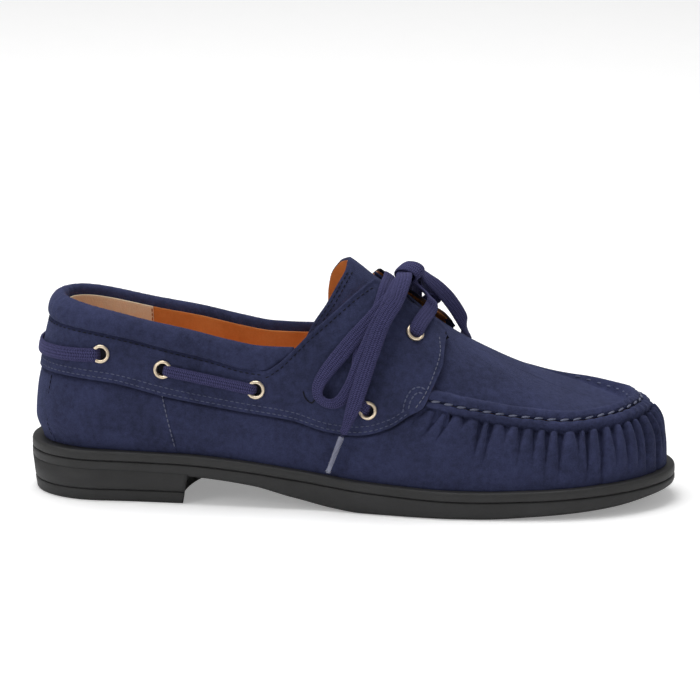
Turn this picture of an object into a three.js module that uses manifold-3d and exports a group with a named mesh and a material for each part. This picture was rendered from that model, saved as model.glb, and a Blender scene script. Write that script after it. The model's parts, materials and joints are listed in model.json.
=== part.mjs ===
import * as THREE from 'three';
import { mergeVertices } from 'three/addons/utils/BufferGeometryUtils.js';
import Module from 'manifold-3d';

// A right boat shoe in millimetres. +X runs from heel to toe, +Y to the inner side of the foot,
// and +Z is up. Stations run along the sole, from 0 at the back of the heel to soleLength.

const soleLength = 300;
const gap = 0.3; // clearance between neighbouring pieces
const ledge = 3.6; // welt showing outside the upper
const weltThickness = 4.6;
const liftThickness = 5.6;
const insoleThickness = 3;
const upperWall = 2.2;
const saddleWall = 1.6;
const tongueWall = 2.2;
const ringColumns = 60;
const formRows = 10;

// Plan of the sole: centre line and half width, before the two ends are rounded.
const solePlan = [
  { at: 0, centre: 0, half: 34 },
  { at: 40, centre: 0, half: 34 },
  { at: 75, centre: -1, half: 34.5 },
  { at: 126, centre: -5.5, half: 33.5 },
  { at: 165, centre: -5, half: 41 },
  { at: 204, centre: -1, half: 50 },
  { at: 225, centre: 1, half: 51 },
  { at: 255, centre: 3, half: 50.5 },
  { at: 300, centre: 2.5, half: 48 },
];
const heelRound = { reach: 36, power: 2.1 };
const toeRound = { reach: 62, power: 2 };

// Side view of the sole: its top, and its underside in front of the heel block.
const soleTop = [
  { at: 0, height: 24.4 },
  { at: 70, height: 23.6 },
  { at: 83, height: 23 },
  { at: 107, height: 21 },
  { at: 126, height: 18.5 },
  { at: 145, height: 16 },
  { at: 158, height: 14.8 },
  { at: 209, height: 12.8 },
  { at: 241, height: 13.6 },
  { at: 273, height: 15 },
  { at: 300, height: 15.8 },
];
const soleUnder = [
  { at: 0, height: 14.4 },
  { at: 70, height: 13.4 },
  { at: 83, height: 12.7 },
  { at: 107, height: 10 },
  { at: 126, height: 5.2 },
  { at: 145, height: 1.2 },
  { at: 158, height: 0 },
  { at: 212, height: 0 },
  { at: 241, height: 1.5 },
  { at: 273, height: 4 },
  { at: 300, height: 7 },
];
const heelTaper = 2; // how much the heel narrows down to the floor
const breast = { x: 7.4, y: -16, radius: 85, lean: 0.135 }; // a hollow cone, its radius given at the floor

// The last: its crown line seen from the side, and how square its sections are.
const crownLine = [
  { at: 36, height: 118 },
  { at: 100, height: 128 },
  { at: 125, height: 127 },
  { at: 149, height: 115 },
  { at: 165, height: 102.5 },
  { at: 178, height: 92 },
  { at: 189, height: 82.3 },
  { at: 202, height: 73.2 },
  { at: 224, height: 61.8 },
  { at: 242, height: 54.2 },
  { at: 254, height: 50.4 },
  { at: 262, height: 48.6 },
];
const squareness = [
  { at: 0, lateral: 2, medial: 2 },
  { at: 150, lateral: 2.1, medial: 2.1 },
  { at: 189, lateral: 2.3, medial: 2.4 },
  { at: 209, lateral: 2.35, medial: 2.6 },
  { at: 233, lateral: 2.5, medial: 3.2 },
  { at: 257, lateral: 2.8, medial: 3.3 },
  { at: 300, lateral: 3.2, medial: 3.2 },
];
const swell = { depth: 2, height: 35, fadeFrom: 60, fadeTo: 130 };

// Lines in the side view, as x and height.
const creaseLine = [
  { at: -160, height: 84 },
  { at: -141, height: 82 },
  { at: -124, height: 80.5 },
  { at: -103, height: 77 },
  { at: -83, height: 72.8 },
  { at: -62, height: 68.6 },
  { at: -47, height: 65 },
  { at: -38, height: 64.2 },
  { at: -31, height: 68 },
  { at: -23.5, height: 75 },
  { at: -16.5, height: 82.2 },
  { at: -8, height: 89.7 },
  { at: -1.5, height: 95.5 },
  { at: 4.5, height: 100.5 },
  { at: 11, height: 104.5 },
  { at: 16, height: 106 },
];
const collarTop = [
  { at: -160, height: 95 },
  { at: -131, height: 92.5 },
  { at: -115, height: 89.5 },
  { at: -94, height: 85 },
  { at: -74, height: 81.5 },
  { at: -54, height: 77.5 },
  { at: -39, height: 75.4 },
  { at: -26, height: 75.2 },
];
const saddleBottom = [
  { at: -160, height: 59 },
  { at: -145, height: 58.6 },
  { at: -130, height: 58.2 },
  { at: -113, height: 56.8 },
  { at: -82.5, height: 50.6 },
  { at: -52, height: 45.7 },
  { at: -26, height: 42 },
  { at: -7.5, height: 37.1 },
  { at: 3, height: 36.4 },
  { at: 10, height: 37.2 },
  { at: 21, height: 40.9 },
  { at: 30.5, height: 47.2 },
  { at: 36.5, height: 50.6 },
];
const tabFront = [
  { at: 36.5, height: 50.6 },
  { at: 40, height: 57.9 },
  { at: 44.5, height: 68.3 },
  { at: 46, height: 74 },
  { at: 44.5, height: 80 },
  { at: 38, height: 88 },
  { at: 28, height: 98 },
];
const tongueRear = [
  { at: -24, height: 66 },
  { at: -19, height: 76 },
  { at: -14.6, height: 85.2 },
  { at: -9.5, height: 94.8 },
  { at: -5.6, height: 102 },
  { at: -1, height: 112 },
];
const tongueFront = { station: 205, lowRear: 66, lowFront: 57 };

// The throat seen from above: half its width round the crown line.
const throat = [
  { at: -40, half: 22 },
  { at: -2, half: 15 },
  { at: 11, half: 10.5 },
  { at: 30, half: 9.5 },
  { at: 60, half: 9 },
];
const apronBack = 29; // x where the apron closes the throat

// The moccasin seam: height of its line at each station, on both sides.
const seamLine = [
  { at: 184, lateral: 54, medial: 61 },
  { at: 209, lateral: 49.5, medial: 55.5 },
  { at: 233, lateral: 45.5, medial: 49.5 },
  { at: 257, lateral: 43.5, medial: 44.6 },
  { at: 281, lateral: 44.6, medial: 44.2 },
  { at: 300, lateral: 46, medial: 46 },
];
const seamRoll = { width: 7, stand: 1.7, start: 184, steps: 22 };

const collar = { depth: 0.3, halfThickness: 4.3, front: 125, columns: 14, sides: 10 };

// Eyelets on each side, placed by x and height in the side view.
const eyelets = [
  { name: 'heel', x: -114.2, height: 69.3 },
  { name: 'side', x: -85, height: 63.1 },
  { name: 'waist', x: -41.4, height: 55.6 },
  { name: 'low', x: 11, height: 48.6 },
  { name: 'throat', x: 31.6, height: 82.6 },
];
const eyelet = { outer: 4.4, barrel: 2.75, bore: 2.25, rim: 0.7, seat: 0.55, hole: 3.1 };

const lace = { width: 5, thickness: 1.5, cordRadius: 1.8, cordSides: 8 };

// The strand that climbs each tab from the low eyelet: x at each part of the rise to the crown.
const climb = [
  { at: 0.3, x: 5.4 },
  { at: 0.38, x: 6 },
  { at: 0.5, x: 10 },
  { at: 0.65, x: 15 },
  { at: 0.8, x: 16.6 },
  { at: 1, x: 16.8 },
];

const colours = {
  suede: 0x2c3058,
  lace: 0x35345f,
  rubber: 0x333333,
  lining: 0xbe6423,
  brass: 0xd7b978,
  aglet: 0xc9cbd6,
};

// ---- Reading tables ----

// A monotone cubic through one column of a table, flat at both ends.
function read(table, column, at) {
  const last = table.length - 1;
  if (at <= table[0].at) return table[0][column];
  if (at >= table[last].at) return table[last][column];
  const row = table.findIndex((entry) => entry.at > at) - 1;
  const step = (k) => (table[k + 1][column] - table[k][column]) / (table[k + 1].at - table[k].at);
  const slope = (k) => {
    if (k === 0 || k === last || step(k - 1) * step(k) <= 0) return 0;
    return (2 * step(k - 1) * step(k)) / (step(k - 1) + step(k));
  };
  const width = table[row + 1].at - table[row].at;
  const t = (at - table[row].at) / width;
  const rise = table[row + 1][column] - table[row][column];
  const ease = t * t * (3 - 2 * t);
  const leave = t * (1 - t) * (1 - t) * slope(row) * width;
  const arrive = t * t * (t - 1) * slope(row + 1) * width;
  return table[row][column] + rise * ease + leave + arrive;
}

// ---- The plan of the sole ----

function roundEnd(distance, end, inset) {
  const t = THREE.MathUtils.clamp(1 - distance / (end.reach - inset), 0, 1);
  return (1 - t ** end.power) ** (1 / end.power);
}

// A point of the sole's edge moved in by inset, before the plan is centred.
function rawEdge(station, side, inset) {
  const along = inset + ((soleLength - 2 * inset) * station) / soleLength;
  const half = (read(solePlan, 'half', along) - inset)
    * roundEnd(along - inset, heelRound, inset)
    * roundEnd(soleLength - inset - along, toeRound, inset);
  return { along, y: read(solePlan, 'centre', along) + side * half };
}

// Stations and sides round the sole: heel, outer side, toe, inner side.
const ring = Array.from({ length: ringColumns }, (_, k) => {
  const turn = (2 * Math.PI * k) / ringColumns;
  return { station: (soleLength / 2) * (1 - Math.cos(turn)), side: k < ringColumns / 2 ? -1 : 1 };
});
const edges = ring.map(({ station, side }) => rawEdge(station, side, 0).y);
const centring = -(Math.max(...edges) + Math.min(...edges)) / 2;

function soleEdge(station, side, inset) {
  const { along, y } = rawEdge(station, side, inset);
  return { along, x: along - soleLength / 2, y: y + centring };
}

// ---- The skin of the last ----

// The crown line's station above a station of the feather edge. It eases to a stop at both ends.
function crownStation(station) {
  const heel = 2 * crownLine[0].at;
  const toe = 2 * crownLine[crownLine.length - 1].at - soleLength;
  if (station < heel) return station + (heel - station) ** 2 / (2 * heel);
  if (station > toe) return station - (station - toe) ** 2 / (2 * (soleLength - toe));
  return station;
}

function section(station, side, grow) {
  const foot = soleEdge(station, side, ledge - grow);
  const at = crownStation(station);
  const slope = read(crownLine, 'height', at + 2) - read(crownLine, 'height', at - 2);
  const crown = {
    x: at - soleLength / 2,
    y: read(solePlan, 'centre', at) + centring,
    z: read(crownLine, 'height', at) + grow * Math.hypot(1, slope / 4),
  };
  const low = read(soleTop, 'height', foot.along) + gap;
  const power = read(squareness, side < 0 ? 'lateral' : 'medial', station);
  return { foot, crown, low, power };
}

// The rise, from 0 at the feather edge to 1 at the crown, that has a height.
function riseAt(station, side, height, grow) {
  const { crown, low, power } = section(station, side, grow);
  const up = Math.min(1, Math.max(0, (height - low) / (crown.z - low)));
  return Math.atan2(up, (1 - up ** power) ** (1 / power)) / (Math.PI / 2);
}

// A point of the skin, grow outside the last.
function skin(station, side, rise, grow) {
  const { foot, crown, low, power } = section(station, side, grow);
  const angle = (rise * Math.PI) / 2;
  const across = Math.max(0, Math.cos(angle));
  const up = Math.sin(angle);
  const size = (across ** power + up ** power) ** (1 / power);
  const z = low + ((crown.z - low) * up) / size;
  const outX = foot.x - crown.x;
  const outY = foot.y - crown.y;
  const fade = THREE.MathUtils.smoothstep(station, swell.fadeFrom, swell.fadeTo);
  const bulge = swell.depth * (1 - fade) * Math.sin(Math.PI * Math.min(1, (z - low) / swell.height));
  const reach = across / size + (bulge / Math.hypot(outX, outY)) * (rise < 1 ? 1 : 0);
  return new THREE.Vector3(crown.x + outX * reach, crown.y + outY * reach, z);
}

// The point of the skin at an x and a height, with the way out of the skin there.
function place(x, height, side, grow) {
  const settle = (toX, toHeight, out) => {
    let station = toX + soleLength / 2;
    let point;
    for (let turn = 0; turn < 12; turn += 1) {
      point = skin(station, side, riseAt(station, side, toHeight, out), out);
      station = THREE.MathUtils.clamp(station + toX - point.x, 0, soleLength);
    }
    return point;
  };
  const point = settle(x, height, grow);
  const forward = settle(x + 1, height, grow).sub(point);
  const upward = settle(x, height + 1, grow).sub(point);
  const normal = forward.cross(upward).normalize().multiplyScalar(-side);
  return { point, normal };
}

// The height of a line of the side view on one column of the skin.
function heightOn(station, side, line, grow) {
  let height = line[0].height;
  for (let turn = 0; turn < 6; turn += 1) {
    const point = skin(station, side, riseAt(station, side, height, grow), grow);
    height = read(line, 'height', point.x);
  }
  return height;
}

// ---- Solids ----

const wasm = await Module();
wasm.setup();

function toSolid(geometry) {
  const bare = geometry.clone();
  bare.deleteAttribute('normal');
  bare.deleteAttribute('uv');
  const merged = mergeVertices(bare, 0.002);
  const index = merged.index.array;
  const kept = [];
  for (let k = 0; k < index.length; k += 3) {
    const [a, b, c] = index.slice(k, k + 3);
    if (a !== b && b !== c && a !== c) kept.push(a, b, c);
  }
  return new wasm.Manifold(new wasm.Mesh({
    numProp: 3,
    vertProperties: merged.attributes.position.array,
    triVerts: Uint32Array.from(kept),
  }));
}

function toGeometry(solid) {
  const { vertProperties, triVerts } = solid.getMesh();
  const geometry = new THREE.BufferGeometry();
  geometry.setAttribute('position', new THREE.BufferAttribute(vertProperties, 3));
  geometry.setIndex(new THREE.BufferAttribute(triVerts, 1));
  geometry.computeVertexNormals();
  return geometry;
}

function surface(points, triangles) {
  const geometry = new THREE.BufferGeometry();
  geometry.setAttribute('position', new THREE.Float32BufferAttribute(points.flatMap((p) => p.toArray()), 3));
  geometry.setIndex(triangles);
  return geometry;
}

// A solid between rings of the sole's plan, stacked from the lowest, closed across both ends.
function stack(rings) {
  const count = rings[0].length;
  const triangles = [];
  for (let level = 0; level + 1 < rings.length; level += 1) {
    for (let k = 0; k < count; k += 1) {
      const a = level * count + k;
      const b = level * count + ((k + 1) % count);
      triangles.push(a, b, b + count, a, b + count, a + count);
    }
  }
  const top = (rings.length - 1) * count;
  for (let k = 0; k < count / 2; k += 1) {
    const left = [k, k + 1];
    const right = [(count - k) % count, count - k - 1];
    triangles.push(left[0], right[1], left[1], left[0], right[0], right[1]);
    triangles.push(top + left[0], top + left[1], top + right[1]);
    triangles.push(top + left[0], top + right[1], top + right[0]);
  }
  return toSolid(surface(rings.flat(), triangles));
}

// A closed tube through loops of points, with flat ends.
function loft(loops) {
  const count = loops[0].length;
  const triangles = [];
  for (let row = 0; row + 1 < loops.length; row += 1) {
    for (let k = 0; k < count; k += 1) {
      const a = row * count + k;
      const b = row * count + ((k + 1) % count);
      triangles.push(a, b, b + count, a, b + count, a + count);
    }
  }
  const end = (loops.length - 1) * count;
  for (let k = 1; k + 1 < count; k += 1) {
    triangles.push(0, k + 1, k, end, end + k, end + k + 1);
  }
  const solid = toSolid(surface(loops.flat(), triangles));
  if (solid.volume() > 0) return solid;
  return toSolid(surface(loops.map((loop) => [...loop].reverse()).flat(), triangles));
}

function soleRing(inset, heightOf) {
  return ring.map(({ station, side }) => {
    const { along, x, y } = soleEdge(station, side, inset);
    return new THREE.Vector3(x, y, heightOf(along));
  });
}

// The last's whole form, grow outside it, going down by drop below the feather edge.
function form(grow, drop) {
  const rings = [];
  for (let row = 0; row <= formRows; row += 1) {
    rings.push(ring.map(({ station, side }) => skin(station, side, row / formRows, grow)));
  }
  if (drop > 0) {
    rings.unshift(rings[0].map((point) => point.clone().setZ(point.z - drop)));
  }
  return stack(rings);
}

function shell(outer, inner) {
  return form(outer, 0).subtract(form(inner, 8));
}

// A prism across the shoe from a loop of x and height.
function sidePrism(loop) {
  const shape = new THREE.Shape(loop.map(([x, z]) => new THREE.Vector2(x, z)));
  const geometry = new THREE.ExtrudeGeometry(shape, { depth: 160, bevelEnabled: false });
  geometry.rotateX(Math.PI / 2);
  geometry.translate(0, 80, 0);
  return toSolid(geometry);
}

function curve(line) {
  const points = line.map((entry) => new THREE.Vector2(entry.at, entry.height));
  return new THREE.SplineCurve(points).getPoints(line.length * 2).map((p) => [p.x, p.y]);
}

// The throat's opening seen from above, from the back of the shoe to an x.
function throatPrism(front, round) {
  const centreAt = (x) => read(solePlan, 'centre', x + soleLength / 2) + centring;
  const stops = Array.from({ length: 13 }, (_, k) => -40 + ((front + 40) * k) / 12);
  const half = (x) => read(throat, 'half', x) * (round ? Math.min(1, Math.sqrt((front - x) / 9)) : 1);
  const left = stops.map((x) => new THREE.Vector2(x, centreAt(x) - half(x)));
  const right = stops.map((x) => new THREE.Vector2(x, centreAt(x) + half(x)));
  if (round) right.pop();
  const shape = new THREE.Shape([...left, ...right.reverse()]);
  const geometry = new THREE.ExtrudeGeometry(shape, { depth: 120, bevelEnabled: false });
  geometry.translate(0, 0, 55);
  return toSolid(geometry);
}

// A flat strap along points of the skin, with the way out given at each.
function strap(path, width, thickness) {
  const loops = path.map(({ point, normal }, k) => {
    const before = path[Math.max(k - 1, 0)].point;
    const after = path[Math.min(k + 1, path.length - 1)].point;
    const along = after.clone().sub(before).normalize();
    const across = normal.clone().cross(along).normalize();
    const out = along.clone().cross(across).normalize();
    const corner = (w, t) => point.clone()
      .addScaledVector(across, (w * width) / 2)
      .addScaledVector(out, (t * thickness) / 2);
    return [corner(-1, -1), corner(1, -1), corner(1, 1), corner(-1, 1)];
  });
  return loft(loops);
}

// A round cord through points.
function cord(points, radius, steps) {
  const path = new THREE.CatmullRomCurve3(points.map((p) => new THREE.Vector3(...p)), false, 'centripetal');
  const corners = Array.from({ length: lace.cordSides }, (_, k) => {
    const turn = (2 * Math.PI * k) / lace.cordSides;
    return new THREE.Vector2(radius * Math.cos(turn), radius * Math.sin(turn));
  });
  const settings = { steps, bevelEnabled: false, extrudePath: path };
  return toSolid(new THREE.ExtrudeGeometry(new THREE.Shape(corners), settings));
}

// ---- Sole ----

const topHeight = (at) => read(soleTop, 'height', at);
const weltUnder = (at) => topHeight(at) - weltThickness;
const midsole = stack([soleRing(0, weltUnder), soleRing(0, topHeight)]);

const breastCut = new THREE.CylinderGeometry(
  breast.radius - 30 * breast.lean,
  breast.radius + 30 * breast.lean,
  60,
  72,
);
breastCut.rotateX(Math.PI / 2);
breastCut.translate(breast.x, breast.y, 0);
const frontBlock = new THREE.BoxGeometry(soleLength, 160, 60);
frontBlock.translate(breast.x + soleLength / 2, 0, 0);
const inFront = toSolid(breastCut).add(toSolid(frontBlock));
const heelLevel = (height) => soleRing(heelTaper * (1 - height / 16), () => height);
const heelBlock = stack([heelLevel(liftThickness + gap), heelLevel(16)]).subtract(inFront);
const heelLift = stack([heelLevel(0), heelLevel(liftThickness)]).subtract(inFront);
const soleSheet = stack([
  soleRing(0.8, (at) => read(soleUnder, 'height', at)),
  soleRing(0, (at) => read(soleUnder, 'height', at) + 2),
  soleRing(0, (at) => weltUnder(at) - gap),
]);
const outsole = soleSheet.add(heelBlock);

const insoleEdge = ledge + upperWall + 0.5;
const insole = stack([
  soleRing(insoleEdge, (at) => topHeight(at) + gap),
  soleRing(insoleEdge, (at) => topHeight(at) + gap + insoleThickness),
]);

// ---- Upper, saddle and tongue ----

const opening = sidePrism([...curve(creaseLine), [16, 160], [-160, 160]]);

const holes = eyelets.flatMap(({ x, height }) => [-1, 1].map((side) => {
  const { point, normal } = place(x, height, side, gap + saddleWall);
  const drill = new THREE.CylinderGeometry(eyelet.hole, eyelet.hole, 16, 10);
  drill.applyQuaternion(new THREE.Quaternion().setFromUnitVectors(new THREE.Vector3(0, 1, 0), normal));
  drill.translate(point.x, point.y, point.z);
  return toSolid(drill);
}));
const drilled = (solid) => holes.reduce((rest, hole) => rest.subtract(hole), solid);

const upper = drilled(shell(0, -upperWall)
  .subtract(opening)
  .subtract(throatPrism(apronBack, true)));

const saddleBand = sidePrism([
  ...curve(saddleBottom),
  ...curve(tabFront).slice(1),
  [20, 112],
  [-160, 112],
]);
const saddle = drilled(shell(gap + saddleWall, gap)
  .intersect(saddleBand)
  .subtract(opening)
  .subtract(throatPrism(60, false)));

const tongueBand = sidePrism([
  ...curve(tongueRear),
  [2, 125],
  [tongueFront.station - soleLength / 2, 125],
  [tongueFront.station - soleLength / 2, tongueFront.lowFront],
  [-20, tongueFront.lowRear - 2],
]);
const tongue = shell(-upperWall - gap, -upperWall - gap - tongueWall).intersect(tongueBand);

// ---- Padded collar ----

const collarLoops = [];
for (let k = -collar.columns; k <= collar.columns; k += 1) {
  const t = Math.abs(k) / collar.columns;
  const station = collar.front * t ** 1.25;
  const side = k < 0 ? -1 : 1;
  const taper = 1 - 0.62 * THREE.MathUtils.smoothstep(t, 0.72, 1);
  const loop = [];
  for (let j = 0; j < collar.sides; j += 1) {
    const turn = (2 * Math.PI * (j + 0.5)) / collar.sides;
    const grow = -collar.depth + collar.halfThickness * taper * Math.cos(turn);
    const low = heightOn(station, side, creaseLine, grow) + gap + 0.2;
    const high = heightOn(station, side, collarTop, grow);
    const height = (low + high) / 2 + ((high - low) / 2) * Math.sin(turn);
    loop.push(skin(station, side, riseAt(station, side, height, grow), grow));
  }
  collarLoops.push(loop);
}
const paddedCollar = loft(collarLoops);

// ---- Moccasin seam ----

const seamLoops = [];
for (let k = -seamRoll.steps; k <= seamRoll.steps; k += 1) {
  const t = 1 - Math.abs(k) / seamRoll.steps;
  const station = soleLength - (soleLength - seamRoll.start) * t ** 1.6;
  const side = k < 0 ? -1 : 1;
  const height = read(seamLine, side < 0 ? 'lateral' : 'medial', station);
  const rise = riseAt(station, side, height, 0);
  const low = skin(station, side, rise - 0.02, 0);
  const reach = (0.04 * seamRoll.width) / 2 / skin(station, side, rise + 0.02, 0).distanceTo(low);
  const at = (across, grow) => skin(station, side, rise + across * reach, grow);
  seamLoops.push([
    at(-1, gap),
    at(-0.5, gap),
    at(0.5, gap),
    at(1, gap),
    at(0.75, gap + 0.7 * seamRoll.stand),
    at(0, gap + seamRoll.stand),
    at(-0.75, gap + 0.7 * seamRoll.stand),
  ]);
}
const apronSeam = loft(seamLoops).subtract(saddleBand.translate([gap + 0.2, 0, 0]));

// ---- Eyelets ----

function eyeletRing({ x, height }, side) {
  const { point, normal } = place(x, height, side, gap + saddleWall);
  const profile = [
    [eyelet.bore, -saddleWall - upperWall],
    [eyelet.barrel, -saddleWall - upperWall],
    [eyelet.barrel, eyelet.seat],
    [eyelet.outer, eyelet.seat],
    [eyelet.outer - 0.6, eyelet.seat + eyelet.rim],
    [eyelet.bore, eyelet.seat + eyelet.rim],
    [eyelet.bore, -saddleWall - upperWall],
  ];
  const geometry = new THREE.LatheGeometry(profile.map(([r, y]) => new THREE.Vector2(r, y)), 10);
  geometry.applyQuaternion(new THREE.Quaternion().setFromUnitVectors(new THREE.Vector3(0, 1, 0), normal));
  geometry.translate(point.x, point.y, point.z);
  return toSolid(geometry);
}

// ---- Laces held by the shoe ----

const laceGrow = saddleWall + 3 * gap + lace.thickness / 2;

function laceRun(from, to, side, steps, trim) {
  const path = [];
  for (let k = 0; k <= steps; k += 1) {
    const t = trim + ((1 - 2 * trim) * k) / steps;
    const x = from.x + (to.x - from.x) * t;
    const height = from.height + (to.height - from.height) * t;
    path.push(place(x, height, side, laceGrow));
  }
  return strap(path, lace.width, lace.thickness);
}

const eyeletAt = Object.fromEntries(eyelets.map((entry) => [entry.name, entry]));
const laceLateral = laceRun(eyeletAt.side, eyeletAt.waist, -1, 6, 0.1);
const laceMedial = laceRun(eyeletAt.side, eyeletAt.waist, 1, 6, 0.1);

// Round the back of the heel between the two rear eyelets.
const heelPath = [];
for (let k = -9; k <= 9; k += 1) {
  const side = k < 0 ? -1 : 1;
  const station = 29.5 * (Math.abs(k) / 9) ** 1.3;
  const height = eyeletAt.heel.height - 0.3;
  const at = (toStation, toHeight) => skin(toStation, side, riseAt(toStation, side, toHeight, laceGrow), laceGrow);
  const point = at(station, height);
  const upward = at(station, height + 1).sub(point);
  const forward = at(station + 1, height).sub(point);
  heelPath.push({ point, normal: forward.cross(upward).normalize().multiplyScalar(-side) });
}
const laceHeel = strap(heelPath, lace.width + 1, lace.thickness);

// Over the throat: a strand leaves each low eyelet, climbs its tab and crosses the tongue.
function over(station, turn, grow) {
  const at = (toStation, toTurn) => (toTurn <= 1
    ? skin(toStation, -1, toTurn, grow)
    : skin(toStation, 1, 2 - toTurn, grow));
  const point = at(station, turn);
  const forward = at(station + 1, turn).sub(point);
  const upward = at(station, turn + 0.02).sub(point);
  return { point, normal: forward.cross(upward).normalize() };
}

function crossingStrand(side) {
  const from = riseAt(eyeletAt.low.x + soleLength / 2, -1, eyeletAt.low.height + 5, laceGrow);
  const path = [];
  for (let k = 0; k <= 12; k += 1) {
    const turn = from + ((1.1 - from) * k) / 12;
    const station = read(climb, 'x', turn) + soleLength / 2;
    const sink = 1.6 * THREE.MathUtils.smoothstep(turn, 0.96, 1.1);
    path.push(over(station, side < 0 ? turn : 2 - turn, laceGrow - sink));
  }
  return strap(path, lace.width, lace.thickness);
}
const laceCross = crossingStrand(-1).add(crossingStrand(1));

// From each throat eyelet up over the tab's edge to the foot of the knot.
const knotFoot = new THREE.Vector3(29, -1.5, 98.6);
const tieStarts = [-1, 1].map((side) => place(eyeletAt.throat.x + 1.2, 87, side, laceGrow));
function tieStrand(start) {
  const hop = start.point.clone().lerp(knotFoot, 0.55).add(new THREE.Vector3(2.5, 0, 2.2));
  const route = new THREE.CatmullRomCurve3([start.point, hop, knotFoot], false, 'centripetal');
  const path = route.getPoints(6).map((point, k) => ({
    point,
    normal: start.normal.clone().lerp(new THREE.Vector3(0, 0, 1), k / 6).normalize(),
  }));
  return strap(path, lace.width, lace.thickness);
}
const laceTie = tieStrand(tieStarts[0]).add(tieStrand(tieStarts[1]));

// ---- Free laces: the knot, its two loops and its two ends ----

const knot = cord([[20.8, -2.5, 103.6], [27, -2, 104.8], [33.2, -1.5, 103.2]], 4.4, 4);

const hang = (x, height, side, out) => place(x, height, side, out).point.toArray();
const loopLateral = cord([
  [22.3, -8.2, 104],
  hang(18.5, 96.5, -1, 7),
  hang(11.5, 88.5, -1, 6.5),
  hang(-4, 71, -1, 6.5),
  hang(-12.5, 58.5, -1, 6.5),
  hang(-8.5, 51.5, -1, 6.5),
  hang(1, 56.5, -1, 6.5),
  hang(12.5, 80, -1, 6.5),
  hang(20, 93, -1, 7),
  [27.2, -8.2, 103.4],
], lace.cordRadius, 20);
const loopMedial = cord([
  [34, 4, 102.4],
  [42.5, 10, 92.5],
  hang(50, 72, 1, 6.5),
  hang(49, 58, 1, 6.5),
  hang(38, 50, 1, 6.5),
  hang(30, 58, 1, 6.5),
  hang(28, 75, 1, 6.5),
  [29, 17, 97],
  [28.6, 4.6, 103.2],
], lace.cordRadius, 20);
const endLateral = cord([
  [32.2, -7.8, 102.2],
  hang(21, 88, -1, 7),
  hang(9.5, 59.5, -1, 7.5),
  hang(1.5, 42.5, -1, 8),
  hang(-0.5, 38, -1, 7.5),
], lace.cordRadius, 10);
const endMedial = cord([
  [23.4, 4.4, 103.4],
  hang(20, 90, 1, 7),
  hang(12, 62, 1, 7.5),
  hang(6, 44, 1, 8),
  hang(4.5, 39.5, 1, 7.5),
], lace.cordRadius, 10);
const agletLateral = cord([
  hang(-1, 36.6, -1, 7.3),
  hang(-6, 21.5, -1, 6),
], 1.4, 2);
const agletMedial = cord([
  hang(4.2, 38.1, 1, 7.3),
  hang(0.5, 22.5, 1, 6),
], 1.4, 2);

const group = new THREE.Group();

function add(name, solid, colour, roughness, metalness) {
  const material = new THREE.MeshStandardMaterial({ color: colour, roughness, metalness });
  const mesh = new THREE.Mesh(toGeometry(solid), material);
  mesh.name = name;
  group.add(mesh);
}

add('midsole', midsole, colours.rubber, 0.6, 0);
add('outsole', outsole, colours.rubber, 0.6, 0);
add('heel_lift', heelLift, colours.rubber, 0.6, 0);
add('insole', insole, colours.lining, 0.5, 0);
add('upper', upper, colours.suede, 0.9, 0);
add('saddle', saddle, colours.suede, 0.9, 0);
add('tongue', tongue, colours.suede, 0.9, 0);
add('collar', paddedCollar, colours.suede, 0.9, 0);
add('apron_seam', apronSeam, colours.suede, 0.9, 0);
eyelets.forEach((entry) => {
  add(`eyelet_${entry.name}_lateral`, eyeletRing(entry, -1), colours.brass, 0.3, 1);
  add(`eyelet_${entry.name}_medial`, eyeletRing(entry, 1), colours.brass, 0.3, 1);
});
add('lace_heel', laceHeel, colours.lace, 0.9, 0);
add('lace_lateral', laceLateral, colours.lace, 0.9, 0);
add('lace_medial', laceMedial, colours.lace, 0.9, 0);
add('lace_cross', laceCross, colours.lace, 0.9, 0);
add('lace_tie', laceTie, colours.lace, 0.9, 0);
add('knot', knot, colours.lace, 0.9, 0);
add('loop_lateral', loopLateral, colours.lace, 0.9, 0);
add('loop_medial', loopMedial, colours.lace, 0.9, 0);
add('end_lateral', endLateral, colours.lace, 0.9, 0);
add('end_medial', endMedial, colours.lace, 0.9, 0);
add('aglet_lateral', agletLateral, colours.aglet, 0.2, 0);
add('aglet_medial', agletMedial, colours.aglet, 0.2, 0);

export default group;
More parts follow.
